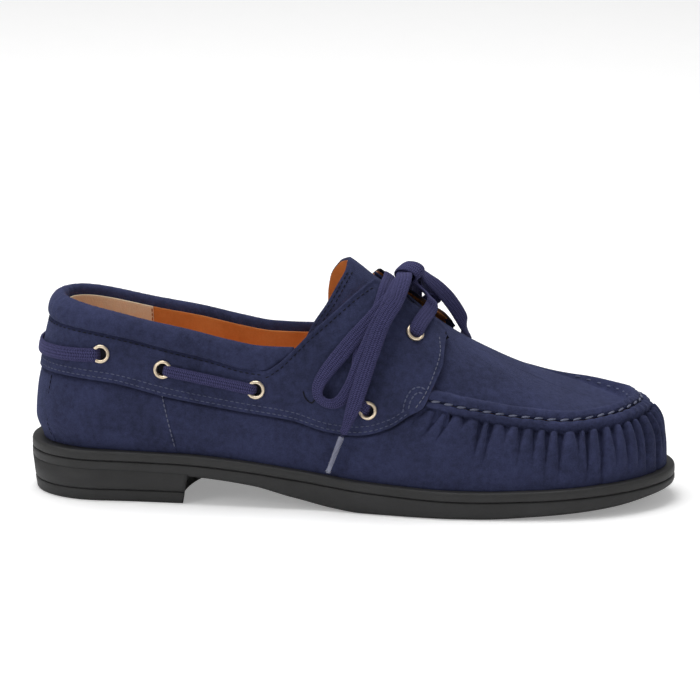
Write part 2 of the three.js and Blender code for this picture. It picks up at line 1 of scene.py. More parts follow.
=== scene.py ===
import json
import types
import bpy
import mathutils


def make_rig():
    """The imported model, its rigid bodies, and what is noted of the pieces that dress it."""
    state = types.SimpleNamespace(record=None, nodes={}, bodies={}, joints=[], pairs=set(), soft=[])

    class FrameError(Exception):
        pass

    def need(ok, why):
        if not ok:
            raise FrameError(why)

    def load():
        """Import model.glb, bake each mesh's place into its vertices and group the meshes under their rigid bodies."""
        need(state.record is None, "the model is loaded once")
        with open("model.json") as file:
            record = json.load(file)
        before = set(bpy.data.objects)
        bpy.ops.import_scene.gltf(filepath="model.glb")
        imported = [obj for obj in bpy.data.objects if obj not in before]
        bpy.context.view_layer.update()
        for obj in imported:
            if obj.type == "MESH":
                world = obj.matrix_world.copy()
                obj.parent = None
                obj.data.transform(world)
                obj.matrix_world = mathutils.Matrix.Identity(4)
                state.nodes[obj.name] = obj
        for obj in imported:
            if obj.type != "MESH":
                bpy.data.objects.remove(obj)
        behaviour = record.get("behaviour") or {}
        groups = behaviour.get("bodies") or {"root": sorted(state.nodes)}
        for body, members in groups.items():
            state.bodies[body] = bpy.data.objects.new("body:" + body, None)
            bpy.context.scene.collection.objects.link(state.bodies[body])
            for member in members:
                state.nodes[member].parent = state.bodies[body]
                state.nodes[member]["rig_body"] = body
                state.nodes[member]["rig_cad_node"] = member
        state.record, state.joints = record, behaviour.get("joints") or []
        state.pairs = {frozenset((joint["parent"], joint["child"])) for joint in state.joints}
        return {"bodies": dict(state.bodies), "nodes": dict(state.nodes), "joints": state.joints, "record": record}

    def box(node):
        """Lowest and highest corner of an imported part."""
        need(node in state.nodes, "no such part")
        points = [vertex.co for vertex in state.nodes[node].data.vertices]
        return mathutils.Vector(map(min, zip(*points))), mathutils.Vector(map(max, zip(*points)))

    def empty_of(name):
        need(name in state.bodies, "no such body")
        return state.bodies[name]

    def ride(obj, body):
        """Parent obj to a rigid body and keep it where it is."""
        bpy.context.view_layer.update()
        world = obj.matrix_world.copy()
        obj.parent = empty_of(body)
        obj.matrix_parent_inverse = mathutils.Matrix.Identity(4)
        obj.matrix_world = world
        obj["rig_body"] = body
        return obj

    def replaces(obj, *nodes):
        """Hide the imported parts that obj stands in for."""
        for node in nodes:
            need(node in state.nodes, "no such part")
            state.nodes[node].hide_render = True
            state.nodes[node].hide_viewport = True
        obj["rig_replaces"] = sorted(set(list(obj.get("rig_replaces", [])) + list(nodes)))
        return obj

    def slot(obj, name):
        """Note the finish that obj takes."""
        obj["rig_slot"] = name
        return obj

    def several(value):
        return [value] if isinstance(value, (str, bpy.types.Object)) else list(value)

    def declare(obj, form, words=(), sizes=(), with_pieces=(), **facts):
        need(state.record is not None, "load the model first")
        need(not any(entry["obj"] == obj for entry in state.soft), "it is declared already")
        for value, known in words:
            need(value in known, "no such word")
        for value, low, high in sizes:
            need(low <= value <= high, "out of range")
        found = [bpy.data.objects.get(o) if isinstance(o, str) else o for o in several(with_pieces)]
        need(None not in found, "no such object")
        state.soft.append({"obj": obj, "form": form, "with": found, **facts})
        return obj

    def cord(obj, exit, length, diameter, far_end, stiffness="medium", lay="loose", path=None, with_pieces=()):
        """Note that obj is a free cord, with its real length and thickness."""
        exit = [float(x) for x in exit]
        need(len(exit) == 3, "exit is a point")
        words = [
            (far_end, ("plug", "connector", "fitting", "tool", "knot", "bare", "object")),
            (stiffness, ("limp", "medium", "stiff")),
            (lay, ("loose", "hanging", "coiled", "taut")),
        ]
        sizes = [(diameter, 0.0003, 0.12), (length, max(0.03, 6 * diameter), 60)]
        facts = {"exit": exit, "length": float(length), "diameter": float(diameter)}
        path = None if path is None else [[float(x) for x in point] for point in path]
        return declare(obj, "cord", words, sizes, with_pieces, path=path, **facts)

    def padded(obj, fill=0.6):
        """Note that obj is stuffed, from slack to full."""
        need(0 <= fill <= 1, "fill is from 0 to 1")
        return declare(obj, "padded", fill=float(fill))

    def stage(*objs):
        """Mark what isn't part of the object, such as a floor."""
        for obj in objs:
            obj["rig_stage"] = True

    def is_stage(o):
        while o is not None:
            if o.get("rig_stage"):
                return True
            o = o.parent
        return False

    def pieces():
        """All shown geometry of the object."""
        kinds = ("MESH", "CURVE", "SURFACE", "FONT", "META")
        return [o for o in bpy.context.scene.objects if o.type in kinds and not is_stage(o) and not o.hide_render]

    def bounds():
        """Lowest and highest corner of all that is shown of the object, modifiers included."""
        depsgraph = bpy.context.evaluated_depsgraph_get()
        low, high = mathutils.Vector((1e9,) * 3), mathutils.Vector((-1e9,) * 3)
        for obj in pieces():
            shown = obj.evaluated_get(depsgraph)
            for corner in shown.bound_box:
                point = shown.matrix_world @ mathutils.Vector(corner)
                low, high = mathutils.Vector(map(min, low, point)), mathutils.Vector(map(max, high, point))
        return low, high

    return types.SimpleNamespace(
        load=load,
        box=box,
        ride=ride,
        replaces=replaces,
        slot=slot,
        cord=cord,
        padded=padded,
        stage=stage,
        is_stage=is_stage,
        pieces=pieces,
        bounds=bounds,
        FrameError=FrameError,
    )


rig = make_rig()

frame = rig.load()

import json
import math
from bisect import bisect_right
from functools import lru_cache

import bmesh
import bpy
import numpy as np
from mathutils import Matrix, Vector

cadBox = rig.bounds()
mm = 0.001  # everything below is in millimetres until a vertex is placed

# A right shoe: +X to the toe, +Y to the inner side of the foot, stations counted from the back of the heel.
shoe = {
    "length": (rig.box("midsole")[1].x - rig.box("midsole")[0].x) / mm,
    "ledge": 3.6,
    "saddleOut": 1.9,
    "gap": 0.3,
    "heelRound": (36.0, 2.1),
    "toeRound": (62.0, 2.0),
    "swell": {"depth": 2.0, "height": 35.0, "from": 60.0, "to": 130.0},
}
half = shoe["length"] / 2

tables = {
    "centre": ((0, 0), (40, 0), (75, -1), (126, -5.5), (165, -5), (204, -1), (225, 1), (255, 3), (300, 2.5)),
    "half": ((0, 34), (40, 34), (75, 34.5), (126, 33.5), (165, 41), (204, 50), (225, 51), (255, 50.5),
             (300, 48)),
    "top": ((0, 24.4), (70, 23.6), (83, 23), (107, 21), (126, 18.5), (145, 16), (158, 14.8), (209, 12.8),
            (241, 13.6), (273, 15), (300, 15.8)),
    "under": ((0, 14.4), (70, 13.4), (83, 12.7), (107, 10), (126, 5.2), (145, 1.2), (158, 0), (212, 0),
              (241, 1.5), (273, 4), (300, 7)),
    "crown": ((36, 118), (100, 128), (125, 127), (149, 115), (165, 102.5), (178, 92), (189, 82.3),
              (202, 73.2), (224, 61.8), (242, 54.2), (254, 50.4), (262, 48.6)),
    "squareOuter": ((0, 2), (150, 2.1), (189, 2.3), (209, 2.35), (233, 2.5), (257, 2.8), (300, 3.2)),
    "squareInner": ((0, 2), (150, 2.1), (189, 2.4), (209, 2.6), (233, 3.2), (257, 3.3), (300, 3.2)),
    "seamOuter": ((184, 54), (209, 49.5), (233, 45.5), (257, 43.5), (281, 44.6), (300, 46)),
    "seamInner": ((184, 61), (209, 55.5), (233, 49.5), (257, 44.6), (281, 44.2), (300, 46)),
    # lines of the side view, by x
    "crease": ((-160, 84), (-141, 82), (-124, 80.5), (-103, 77), (-83, 72.8), (-62, 68.6), (-47, 65),
               (-38, 64.2), (-31, 68), (-23.5, 75), (-16.5, 82.2), (-8, 89.7), (-1.5, 95.5), (4.5, 100.5),
               (11, 104.5), (16, 106)),
    "innerCrease": ((-160, 84), (-141, 82), (-124, 80.5), (-103, 77), (-83, 72.8), (-62, 68.6), (-47, 65.2),
                    (-38, 63.8), (-31, 64.4), (-24.5, 68), (-17, 75), (-10, 82.2), (-2, 89.7), (3.5, 95.5),
                    (8, 100.5), (12, 104.5), (16, 106)),
    "collarTop": ((-160, 95), (-131, 92.5), (-115, 89.5), (-94, 85), (-74, 81.5), (-54, 77.5), (-39, 75.4),
                  (-26, 75.2)),
    "saddleLow": ((-160, 59), (-145, 58.6), (-130, 58.2), (-113, 56.8), (-82.5, 50.6), (-52, 45.7), (-26, 42),
                  (-7.5, 37.1), (3, 36.4), (10, 37.2), (21, 40.9), (30.5, 47.2), (36.5, 50.6), (40, 57.9),
                  (44.5, 68.3), (46, 74)),
    "tabHigh": ((28, 98), (38, 88), (44.5, 80), (46, 74)),
    "tongueRear": ((66, -24), (76, -19), (85.2, -14.6), (94.8, -9.5), (102, -5.6), (112, -1)),
    "throat": ((-40, 22), (-2, 15), (11, 10.5), (30, 9.5), (60, 9)),
}


def curveThrough(rows):  # a smooth line through a table that never overshoots it
    at, values = zip(*rows)
    steps = [(b - a) / (d - c) for a, b, c, d in zip(values, values[1:], at, at[1:])]
    inner = [0.0 if p * q <= 0 else 2 * p * q / (p + q) for p, q in zip(steps, steps[1:])]
    slopes = [0.0, *inner, 0.0]

    def value(x):
        if x <= at[0]:
            return values[0]
        if x >= at[-1]:
            return values[-1]
        k = bisect_right(at, x) - 1
        width = at[k + 1] - at[k]
        t = (x - at[k]) / width
        ease = t * t * (3 - 2 * t)
        bend = t * (1 - t) * ((1 - t) * slopes[k] - t * slopes[k + 1]) * width
        return values[k] + (values[k + 1] - values[k]) * ease + bend

    return value


line = {name: curveThrough(rows) for name, rows in tables.items()}
creaseOf = {-1: "crease", 1: "innerCrease"}


def smooth(low, high, x):
    t = min(1.0, max(0.0, (x - low) / (high - low)))
    return t * t * (3 - 2 * t)


def bump(centre, reach, x):  # 1 at the centre, 0 a reach away
    t = min(1.0, abs(x - centre) / reach)
    return (1 - t * t) ** 2


def roundEnd(distance, end, inset):
    t = min(1.0, max(0.0, 1 - distance / (end[0] - inset)))
    return (1 - t ** end[1]) ** (1 / end[1])


def rawEdge(station, side, inset):
    along = inset + (shoe["length"] - 2 * inset) * station / shoe["length"]
    width = (line["half"](along) - inset) * roundEnd(along - inset, shoe["heelRound"], inset)
    width *= roundEnd(shoe["length"] - inset - along, shoe["toeRound"], inset)
    return along, line["centre"](along) + side * width


def ringStop(turn):  # heel, outer side, toe, inner side
    turn %= 2 * math.pi
    return half * (1 - math.cos(turn)), -1 if turn < math.pi else 1


edgeYs = [rawEdge(*ringStop(2 * math.pi * k / 60), 0)[1] for k in range(60)]
centring = -(max(edgeYs) + min(edgeYs)) / 2


def soleEdge(station, side, inset):
    along, y = rawEdge(station, side, inset)
    return along, along - half, y + centring


def crownStation(station):
    heel, toe = 72.0, 224.0
    if station < heel:
        return station + (heel - station) ** 2 / (2 * heel)
    if station > toe:
        return station - (station - toe) ** 2 / (2 * (shoe["length"] - toe))
    return station


@lru_cache(maxsize=60000)
def section(station, side, grow):
    along, footX, footY = soleEdge(station, side, shoe["ledge"] - grow)
    at = crownStation(station)
    slope = (line["crown"](at + 2) - line["crown"](at - 2)) / 4
    crownZ = line["crown"](at) + grow * math.hypot(1, slope)
    power = line["squareOuter" if side < 0 else "squareInner"](station)
    swell = shoe["swell"]
    bulge = swell["depth"] * (1 - smooth(swell["from"], swell["to"], station))
    crownY = line["centre"](at) + centring
    low = line["top"](along) - shoe["gap"]
    return footX, footY, at - half, crownY, crownZ, low, power, bulge


def riseAt(station, side, height, grow=0.0):
    _, _, _, _, crownZ, low, power, _ = section(station, side, grow)
    up = min(1.0, max(0.0, (height - low) / (crownZ - low)))
    return math.atan2(up, (1 - up ** power) ** (1 / power)) / (math.pi / 2)


def skin(station, side, rise, grow=0.0):  # a point of the last's skin, grow outside it
    footX, footY, crownX, crownY, crownZ, low, power, bulge = section(station, side, grow)
    angle = rise * math.pi / 2
    across, up = max(0.0, math.cos(angle)), math.sin(angle)
    size = (across ** power + up ** power) ** (1 / power)
    z = low + (crownZ - low) * up / size
    outX, outY = footX - crownX, footY - crownY
    swollen = bulge * math.sin(math.pi * min(1.0, (z - low) / shoe["swell"]["height"]))
    reach = across / size
    if rise < 0.999:
        reach += swollen / math.hypot(outX, outY)
    return Vector((crownX + outX * reach, crownY + outY * reach, z))


def outward(station, side, rise, grow=0.0):
    fore, aft = min(station + 1, shoe["length"]), max(station - 1, 0.0)
    above, below = min(rise + 0.01, 1.0), max(rise - 0.01, 0.0)
    along = skin(fore, side, rise, grow) - skin(aft, side, rise, grow)
    upward = skin(station, side, above, grow) - skin(station, side, below, grow)
    return along.cross(upward).normalized() * -side


def stationAt(x, height, side, grow=0.0):
    station = min(shoe["length"], max(0.0, x + half))
    for _ in range(8):
        rise = riseAt(station, side, height, grow)
        station = min(shoe["length"], max(0.0, station + x - skin(station, side, rise, grow).x))
    return station, riseAt(station, side, height, grow)


def place(x, height, side, grow=0.0):  # point and way out at an x and a height of the side view
    station, rise = stationAt(x, height, side, grow)
    return skin(station, side, rise, grow), outward(station, side, rise, grow)


def heightOn(station, side, name, grow=0.0):
    height = tables[name][0][1]
    for _ in range(6):
        point = skin(station, side, riseAt(station, side, height, grow), grow)
        height = line[name](point.x)
    return height


# Distances round the shoe at mid height, from the heel's back along the outer side.
turns = np.linspace(0, 2 * math.pi, 721)
rim = np.array([skin(*ringStop(t - (1e-9 if t == turns[-1] else 0)), 0.35) for t in turns])
girth = np.concatenate(([0.0], np.cumsum(np.linalg.norm(np.diff(rim, axis=0), axis=1))))


def around(distance):
    return ringStop(float(np.interp(distance % girth[-1], girth, turns)))


def distanceOf(station, side):
    turn = math.acos(1 - station / half)
    return float(np.interp(turn if side < 0 else 2 * math.pi - turn, turns, girth))


toeDistance = float(np.interp(math.pi, turns, girth))

# Camera and light.

studio = {
    "azimuth": 5.5,
    "elevation": 14.0,
    "distance": 3.0,
    "target": (0.0, 0.0, 0.045),
    "lens": 331.7,
    "shift": (-0.004, 0.0646),
}


def setCamera():
    a, e = math.radians(studio["azimuth"]), math.radians(studio["elevation"])
    back = Vector((math.sin(a) * math.cos(e), -math.cos(a) * math.cos(e), math.sin(e)))
    data = bpy.data.cameras.new("camera")
    data.lens = studio["lens"]
    data.sensor_width = 36
    data.shift_x, data.shift_y = studio["shift"]
    data.clip_end = 50
    camera = bpy.data.objects.new("camera", data)
    camera.location = Vector(studio["target"]) + back * studio["distance"]
    camera.rotation_euler = (-back).to_track_quat("-Z", "Y").to_euler()
    bpy.context.scene.collection.objects.link(camera)
    bpy.context.scene.camera = camera


def addLight(name, spot, aim, size, power):
    data = bpy.data.lights.new(name, "AREA")
    data.shape = "RECTANGLE"
    data.size, data.size_y = size
    data.energy = power
    lamp = bpy.data.objects.new(name, data)
    lamp.location = spot
    lamp.rotation_euler = (Vector(aim) - Vector(spot)).to_track_quat("-Z", "Y").to_euler()
    bpy.context.scene.collection.objects.link(lamp)


setCamera()
addLight("topSoftbox", (-0.25, 0.2, 1.5), (0, 0, 0.03), (1.3, 1.0), 18)
addLight("frontSoftbox", (-1.5, -1.5, 1.1), (0, 0, 0.05), (0.9, 0.9), 8)
addLight("toeSoftbox", (1.5, -0.5, 0.8), (0.05, 0, 0.05), (0.8, 0.8), 1.5)
world = bpy.data.worlds.new("studio")
bpy.context.scene.world = world
world.use_nodes = True
world.node_tree.nodes["Background"].inputs["Color"].default_value = (1, 1, 1, 1)
world.node_tree.nodes["Background"].inputs["Strength"].default_value = 0.3
bpy.context.scene.view_settings.view_transform = "Standard"
print("camera and lights set")

# Finishes: shared effects are node groups, and each finish is a material.

def colour(red, green, blue):  # from the 0 to 255 that a screen shows
    linear = [((c / 255 + 0.055) / 1.055) ** 2.4 if c > 10 else c / 255 / 12.92 for c in (red, green, blue)]
    return (*linear, 1.0)


def newGroup(name, inputs, outputs):
    group = bpy.data.node_groups.new(name, "ShaderNodeTree")
    for label, kind in inputs:
        group.interface.new_socket(name=label, in_out="INPUT", socket_type="NodeSocket" + kind)
    for label, kind in outputs:
        group.interface.new_socket(name=label, in_out="OUTPUT", socket_type="NodeSocket" + kind)
    return group, group.nodes.new("NodeGroupInput"), group.nodes.new("NodeGroupOutput")


def addMath(tree, operation, first, second=None):
    node = tree.nodes.new("ShaderNodeMath")
    node.operation = operation
    for socket, value in zip(node.inputs, (first, second)):
        if value is None:
            continue
        if isinstance(value, (int, float)):
            socket.default_value = value
        else:
            tree.links.new(value, socket)
    return node.outputs[0]


def addNoise(tree, coordinates, scale, detail=2.0, roughness=0.5):
    node = tree.nodes.new("ShaderNodeTexNoise")
    node.inputs["Scale"].default_value = scale
    node.inputs["Detail"].default_value = detail
    node.inputs["Roughness"].default_value = roughness
    tree.links.new(coordinates, node.inputs["Vector"])
    return node.outputs["Fac"]


def addMix(tree, factor, first, second):
    node = tree.nodes.new("ShaderNodeMix")
    node.data_type = "RGBA"
    for socket, value in ((node.inputs[0], factor), (node.inputs[6], first), (node.inputs[7], second)):
        if isinstance(value, (int, float, tuple)):
            socket.default_value = value
        else:
            tree.links.new(value, socket)
    return node.outputs[2]


def addRamp(tree, factor, low, high):  # spreads low..high over 0..1
    node = tree.nodes.new("ShaderNodeMapRange")
    node.inputs["From Min"].default_value = low
    node.inputs["From Max"].default_value = high
    tree.links.new(factor, node.inputs["Value"])
    return node.outputs["Result"]


def makeNap():  # brushed fibres of suede: soft patches, mottling and fine nap
    group, given, out = newGroup("nap", (("Dark", "Color"), ("Light", "Color"), ("Patches", "Float")),
                                 (("Colour", "Color"), ("Height", "Float")))
    where = group.nodes.new("ShaderNodeTexCoord").outputs["Object"]
    patches = addRamp(group, addNoise(group, where, 38, 3.0), 0.3, 0.7)
    mottle = addRamp(group, addNoise(group, where, 330, 4.0, 0.6), 0.28, 0.72)
    fibre = addNoise(group, where, 1500, 3.0, 0.7)
    shade = addMath(group, "MULTIPLY", patches, given.outputs["Patches"])
    shade = addMath(group, "ADD", shade, addMath(group, "MULTIPLY", mottle, 0.4))
    shade = addMath(group, "ADD", shade, addMath(group, "MULTIPLY", addRamp(group, fibre, 0.3, 0.7), 0.3))
    group.links.new(addMix(group, shade, given.outputs["Dark"], given.outputs["Light"]), out.inputs["Colour"])
    height = addMath(group, "ADD", addMath(group, "MULTIPLY", mottle, 0.35), fibre)
    group.links.new(height, out.inputs["Height"])
    return group


def makeGrain():  # fine pores of smooth leather and moulded rubber
    group, given, out = newGroup("grain", (("Dark", "Color"), ("Light", "Color"), ("Size", "Float")),
                                 (("Colour", "Color"), ("Height", "Float"), ("Mask", "Float")))
    where = group.nodes.new("ShaderNodeTexCoord").outputs["Object"]
    cells = group.nodes.new("ShaderNodeTexVoronoi")
    group.links.new(where, cells.inputs["Vector"])
    group.links.new(given.outputs["Size"], cells.inputs["Scale"])
    cloud = addRamp(group, addNoise(group, where, 60, 3.0), 0.3, 0.7)
    fine = addNoise(group, where, 900, 2.0)
    shade = addMath(group, "ADD", addMath(group, "MULTIPLY", cloud, 0.6),
                    addMath(group, "MULTIPLY", fine, 0.4))
    group.links.new(addMix(group, shade, given.outputs["Dark"], given.outputs["Light"]), out.inputs["Colour"])
    height = addMath(group, "ADD", cells.outputs["Distance"], addMath(group, "MULTIPLY", fine, 0.5))
    group.links.new(height, out.inputs["Height"])
    group.links.new(cloud, out.inputs["Mask"])
    return group


def makeBraid():  # flat braid: slanted ribs that turn back at each column, on a UV map in millimetres
    group, given, out = newGroup("braid", (("Dark", "Color"), ("Light", "Color"), ("Pitch", "Float")),
                                 (("Colour", "Color"), ("Height", "Float")))
    uv = group.nodes.new("ShaderNodeUVMap")
    uv.uv_map = "surface"
    split = group.nodes.new("ShaderNodeSeparateXYZ")
    group.links.new(uv.outputs["UV"], split.inputs["Vector"])
    slant = addMath(group, "PINGPONG", split.outputs["Y"], 0.55)
    ribs = addMath(group, "ADD", addMath(group, "DIVIDE", split.outputs["X"], given.outputs["Pitch"]), slant)
    ribs = addMath(group, "SINE", addMath(group, "MULTIPLY", ribs, 2 * math.pi))
    columns = addMath(group, "COSINE", addMath(group, "MULTIPLY", split.outputs["Y"], 2 * math.pi / 0.55))
    raised = addMath(group, "ADD", addMath(group, "MULTIPLY", ribs, 0.3),
                     addMath(group, "MULTIPLY", columns, 0.16))
    where = group.nodes.new("ShaderNodeTexCoord").outputs["Object"]
    fuzz = addNoise(group, where, 1400, 3.0, 0.7)
    raised = addMath(group, "ADD", addMath(group, "ADD", raised, 0.15), fuzz)
    tone = addRamp(group, raised, 0.3, 1.05)
    group.links.new(addMix(group, tone, given.outputs["Dark"], given.outputs["Light"]), out.inputs["Colour"])
    group.links.new(raised, out.inputs["Height"])
    return group


def makeShadedCutEdge():  # bare brown leather at the tab's front and throat edges; along the rest of the band the edge is painted near-black, painted shade for the shadow line under the band's edge
    group, given, out = newGroup("edgeDye", (("Dark", "Color"), ("Light", "Color"), ("Patches", "Float")),
                                 (("Colour", "Color"), ("Height", "Float")))
    where = group.nodes.new("ShaderNodeTexCoord").outputs["Object"]
    split = group.nodes.new("ShaderNodeSeparateXYZ")
    group.links.new(where, split.inputs["Vector"])
    forward = addRamp(group, split.outputs["X"], 0.030, 0.036)
    above = addRamp(group, split.outputs["Z"], 0.053, 0.060)
    fibre = addNoise(group, where, 1500, 3.0, 0.7)
    tip = addRamp(group, split.outputs["X"], 0.0448, 0.0425)
    bare = addMath(group, "MULTIPLY", addMath(group, "MULTIPLY", forward, above), fibre)
    bare = addMath(group, "MULTIPLY", bare, tip)
    bare = addMath(group, "MULTIPLY", bare, 1.7)
    group.links.new(addMix(group, bare, given.outputs["Dark"], given.outputs["Light"]), out.inputs["Colour"])
    group.links.new(fibre, out.inputs["Height"])
    return group


groups = {"nap": makeNap(), "grain": makeGrain(), "braid": makeBraid(), "edgeDye": makeShadedCutEdge()}


def makeFinish(name, effect, dark, light, third, bumpDepth, fixed):
    material = bpy.data.materials.new(name)
    material.use_nodes = True
    tree = material.node_tree
    shader = tree.nodes["Principled BSDF"]
    used = tree.nodes.new("ShaderNodeGroup")
    used.node_tree = groups[effect]
    for socket, value in zip(used.inputs, (dark, light, third)):
        socket.default_value = value
    tree.links.new(used.outputs["Colour"], shader.inputs["Base Color"])
    if bumpDepth:
        relief = tree.nodes.new("ShaderNodeBump")
        relief.inputs["Distance"].default_value = bumpDepth * mm
        tree.links.new(used.outputs["Height"], relief.inputs["Height"])
        tree.links.new(relief.outputs["Normal"], shader.inputs["Normal"])
    for socket, value in fixed.items():
        shader.inputs[socket].default_value = value
    return material


floorGlow = 0.27  # keeps the floor pale without lighting the shoe
napped = {"Roughness": 0.95, "Specular IOR Level": 0.12, "Sheen Weight": 0.25, "Sheen Roughness": 0.45,
          "Sheen Tint": colour(130, 138, 180)}
finishes = {
    "suede": makeFinish("suede", "nap", colour(34, 37, 56), colour(67, 72, 108), 0.35, 0.35, napped),
    # painted shade: a darker copy of the suede for rims and backs that sit in shade
    "suedeDark": makeFinish("suedeDark", "nap", colour(26, 28, 42), colour(50, 54, 82), 0.35, 0.35, napped),
    "heelGrip": makeFinish("heelGrip", "nap", colour(244, 214, 172), colour(254, 238, 210), 0.4, 0.3,
                           {"Roughness": 0.9, "Specular IOR Level": 0.15, "Sheen Weight": 0.3,
                            "Sheen Roughness": 0.5, "Sheen Tint": colour(255, 235, 210)}),
    "lining": makeFinish("lining", "grain", colour(208, 122, 56), colour(234, 156, 88), 900.0, 0.05,
                         {"Roughness": 0.42, "Specular IOR Level": 0.4}),
    # painted shade: the saddle's rim is near-black for the shadow line under the band, bare brown only at the tab's
    # front and throat
    "cutEdge": makeFinish("cutEdge", "edgeDye", colour(20, 21, 32), colour(112, 82, 62), 0.4, 0.3,
                          {"Roughness": 0.9, "Specular IOR Level": 0.1}),
    "rubber": makeFinish("rubber", "grain", colour(42, 42, 42), colour(54, 54, 55), 1400.0, 0.05,
                         {"Roughness": 0.55, "Specular IOR Level": 0.4}),
    "lace": makeFinish("lace", "braid", colour(35, 35, 60), colour(79, 78, 122), 0.85, 0.14,
                       {"Roughness": 0.9, "Specular IOR Level": 0.15, "Sheen Weight": 0.25,
                        "Sheen Roughness": 0.5, "Sheen Tint": colour(130, 130, 180)}),
    "brass": makeFinish("brass", "grain", colour(250, 228, 196), colour(255, 238, 212), 700.0, 0,
                        {"Roughness": 0.33, "Metallic": 1.0}),
    "paleThread": makeFinish("paleThread", "nap", colour(78, 82, 104), colour(122, 126, 148), 0.4, 0.1,
                             {"Roughness": 0.7, "Specular IOR Level": 0.3}),
    "blueThread": makeFinish("blueThread", "nap", colour(60, 65, 92), colour(100, 106, 136), 0.4, 0.1,
                             {"Roughness": 0.7, "Specular IOR Level": 0.3}),
    "gripThread": makeFinish("gripThread", "nap", colour(150, 88, 48), colour(190, 122, 76), 0.4, 0.1,
                             {"Roughness": 0.7, "Specular IOR Level": 0.3}),
    # near-black thread for the dark stitch rows, also the painted shade of the discs behind the eyelets
    "darkThread": makeFinish("darkThread", "nap", colour(12, 13, 22), colour(26, 28, 42), 0.4, 0.1,
                             {"Roughness": 0.7, "Specular IOR Level": 0.2}),
    "clearSleeve": makeFinish("clearSleeve", "grain", colour(178, 182, 206), colour(206, 209, 226), 900.0,
                              0.01, {"Roughness": 0.12, "Alpha": 0.42, "IOR": 1.45}),
    "floor": makeFinish("floor", "grain", colour(250, 250, 250), colour(253, 253, 253), 500.0, 0,
                        {"Roughness": 0.9, "Specular IOR Level": 0.05, "Emission Color": (1, 1, 1, 1),
                         "Emission Strength": floorGlow}),
}
floorTree = finishes["floor"].node_tree
cameraRay = floorTree.nodes.new("ShaderNodeLightPath").outputs["Is Camera Ray"]
seen = addMath(floorTree, "MULTIPLY", cameraRay, floorGlow)
floorTree.links.new(seen, floorTree.nodes["Principled BSDF"].inputs["Emission Strength"])
print("finishes made")

# Helpers that every piece uses.


def keepPiece(mesh, name, finish, slot, nodes=(), smoothFaces=True):
    data = bpy.data.meshes.new(name)
    mesh.to_mesh(data)
    mesh.free()
    for polygon in data.polygons:
        polygon.use_smooth = smoothFaces
    for used in [finish] if isinstance(finish, str) else finish:
        data.materials.append(finishes[used])
    piece = bpy.data.objects.new(name, data)
    bpy.context.scene.collection.objects.link(piece)
    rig.ride(piece, "root")
    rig.slot(piece, slot)
    if nodes:
        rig.replaces(piece, *nodes)
    return piece


def gridMesh(columns, rows, placeAt, size=(1, 1)):
    mesh = bmesh.new()
    addGrid(mesh, columns, rows, placeAt, size)
    return mesh


def addGrid(mesh, columns, rows, placeAt, size=(1, 1)):
    layer = mesh.loops.layers.uv.get("surface") or mesh.loops.layers.uv.new("surface")
    made = bmesh.ops.create_grid(mesh, x_segments=columns, y_segments=rows, size=0.5)["verts"]
    faces = {face for vertex in made for face in vertex.link_faces}
    for face in faces:
        for loop in face.loops:
            loop[layer].uv = ((loop.vert.co.x + 0.5) * size[0], (loop.vert.co.y + 0.5) * size[1])
    for vertex in made:
        vertex.co = placeAt(vertex.co.x + 0.5, vertex.co.y + 0.5) * mm


def turnFaces(mesh, inwards=False):  # faces look away from the shoe's own axis, or towards it
    mesh.normal_update()
    score = 0.0
    for face in mesh.faces:
        middle = face.calc_center_median()
        away = middle - Vector((0, 0, 0.045))
        if abs(middle.x) < 0.1:
            away.x = 0
        score += face.normal.dot(away) * face.calc_area()
    if (score < 0) != inwards:
        bmesh.ops.reverse_faces(mesh, faces=mesh.faces[:])


def weld(mesh, distance=0.003):
    bmesh.ops.remove_doubles(mesh, verts=mesh.verts[:], dist=distance * mm)
    bmesh.ops.dissolve_degenerate(mesh, edges=mesh.edges[:], dist=0.001 * mm)


def thicken(piece, thickness, rim=0, back=0, rounding=0.0):
    wall = piece.modifiers.new("wall", "SOLIDIFY")
    wall.thickness = thickness * mm
    wall.offset = -1
    wall.material_offset = back
    wall.material_offset_rim = rim
    if rounding:
        edge = piece.modifiers.new("edge", "BEVEL")
        edge.width = rounding * mm
        edge.segments = 2
        edge.limit_method = "ANGLE"
        edge.angle_limit = math.radians(50)


def splineThrough(points, count):  # a smooth route through points, count + 1 stops evenly apart
    ends = [2 * points[0] - points[1], *points, 2 * points[-1] - points[-2]]
    fine = []
    for a, b, c, d in zip(ends, ends[1:], ends[2:], ends[3:]):
        for k in range(24):
            t = k / 24
            fine.append(0.5 * (2 * b + (c - a) * t + (2 * a - 5 * b + 4 * c - d) * t * t
                               + (3 * b - a - 3 * c + d) * t ** 3))
    fine.append(points[-1])
    lengths = np.concatenate(([0.0], np.cumsum([(q - p).length for p, q in zip(fine, fine[1:])])))
    table = np.array([list(p) for p in fine])
    wanted = np.linspace(0, lengths[-1], count + 1)
    stops = [Vector([float(np.interp(w, lengths, table[:, k])) for k in range(3)]) for w in wanted]
    return stops, float(lengths[-1])


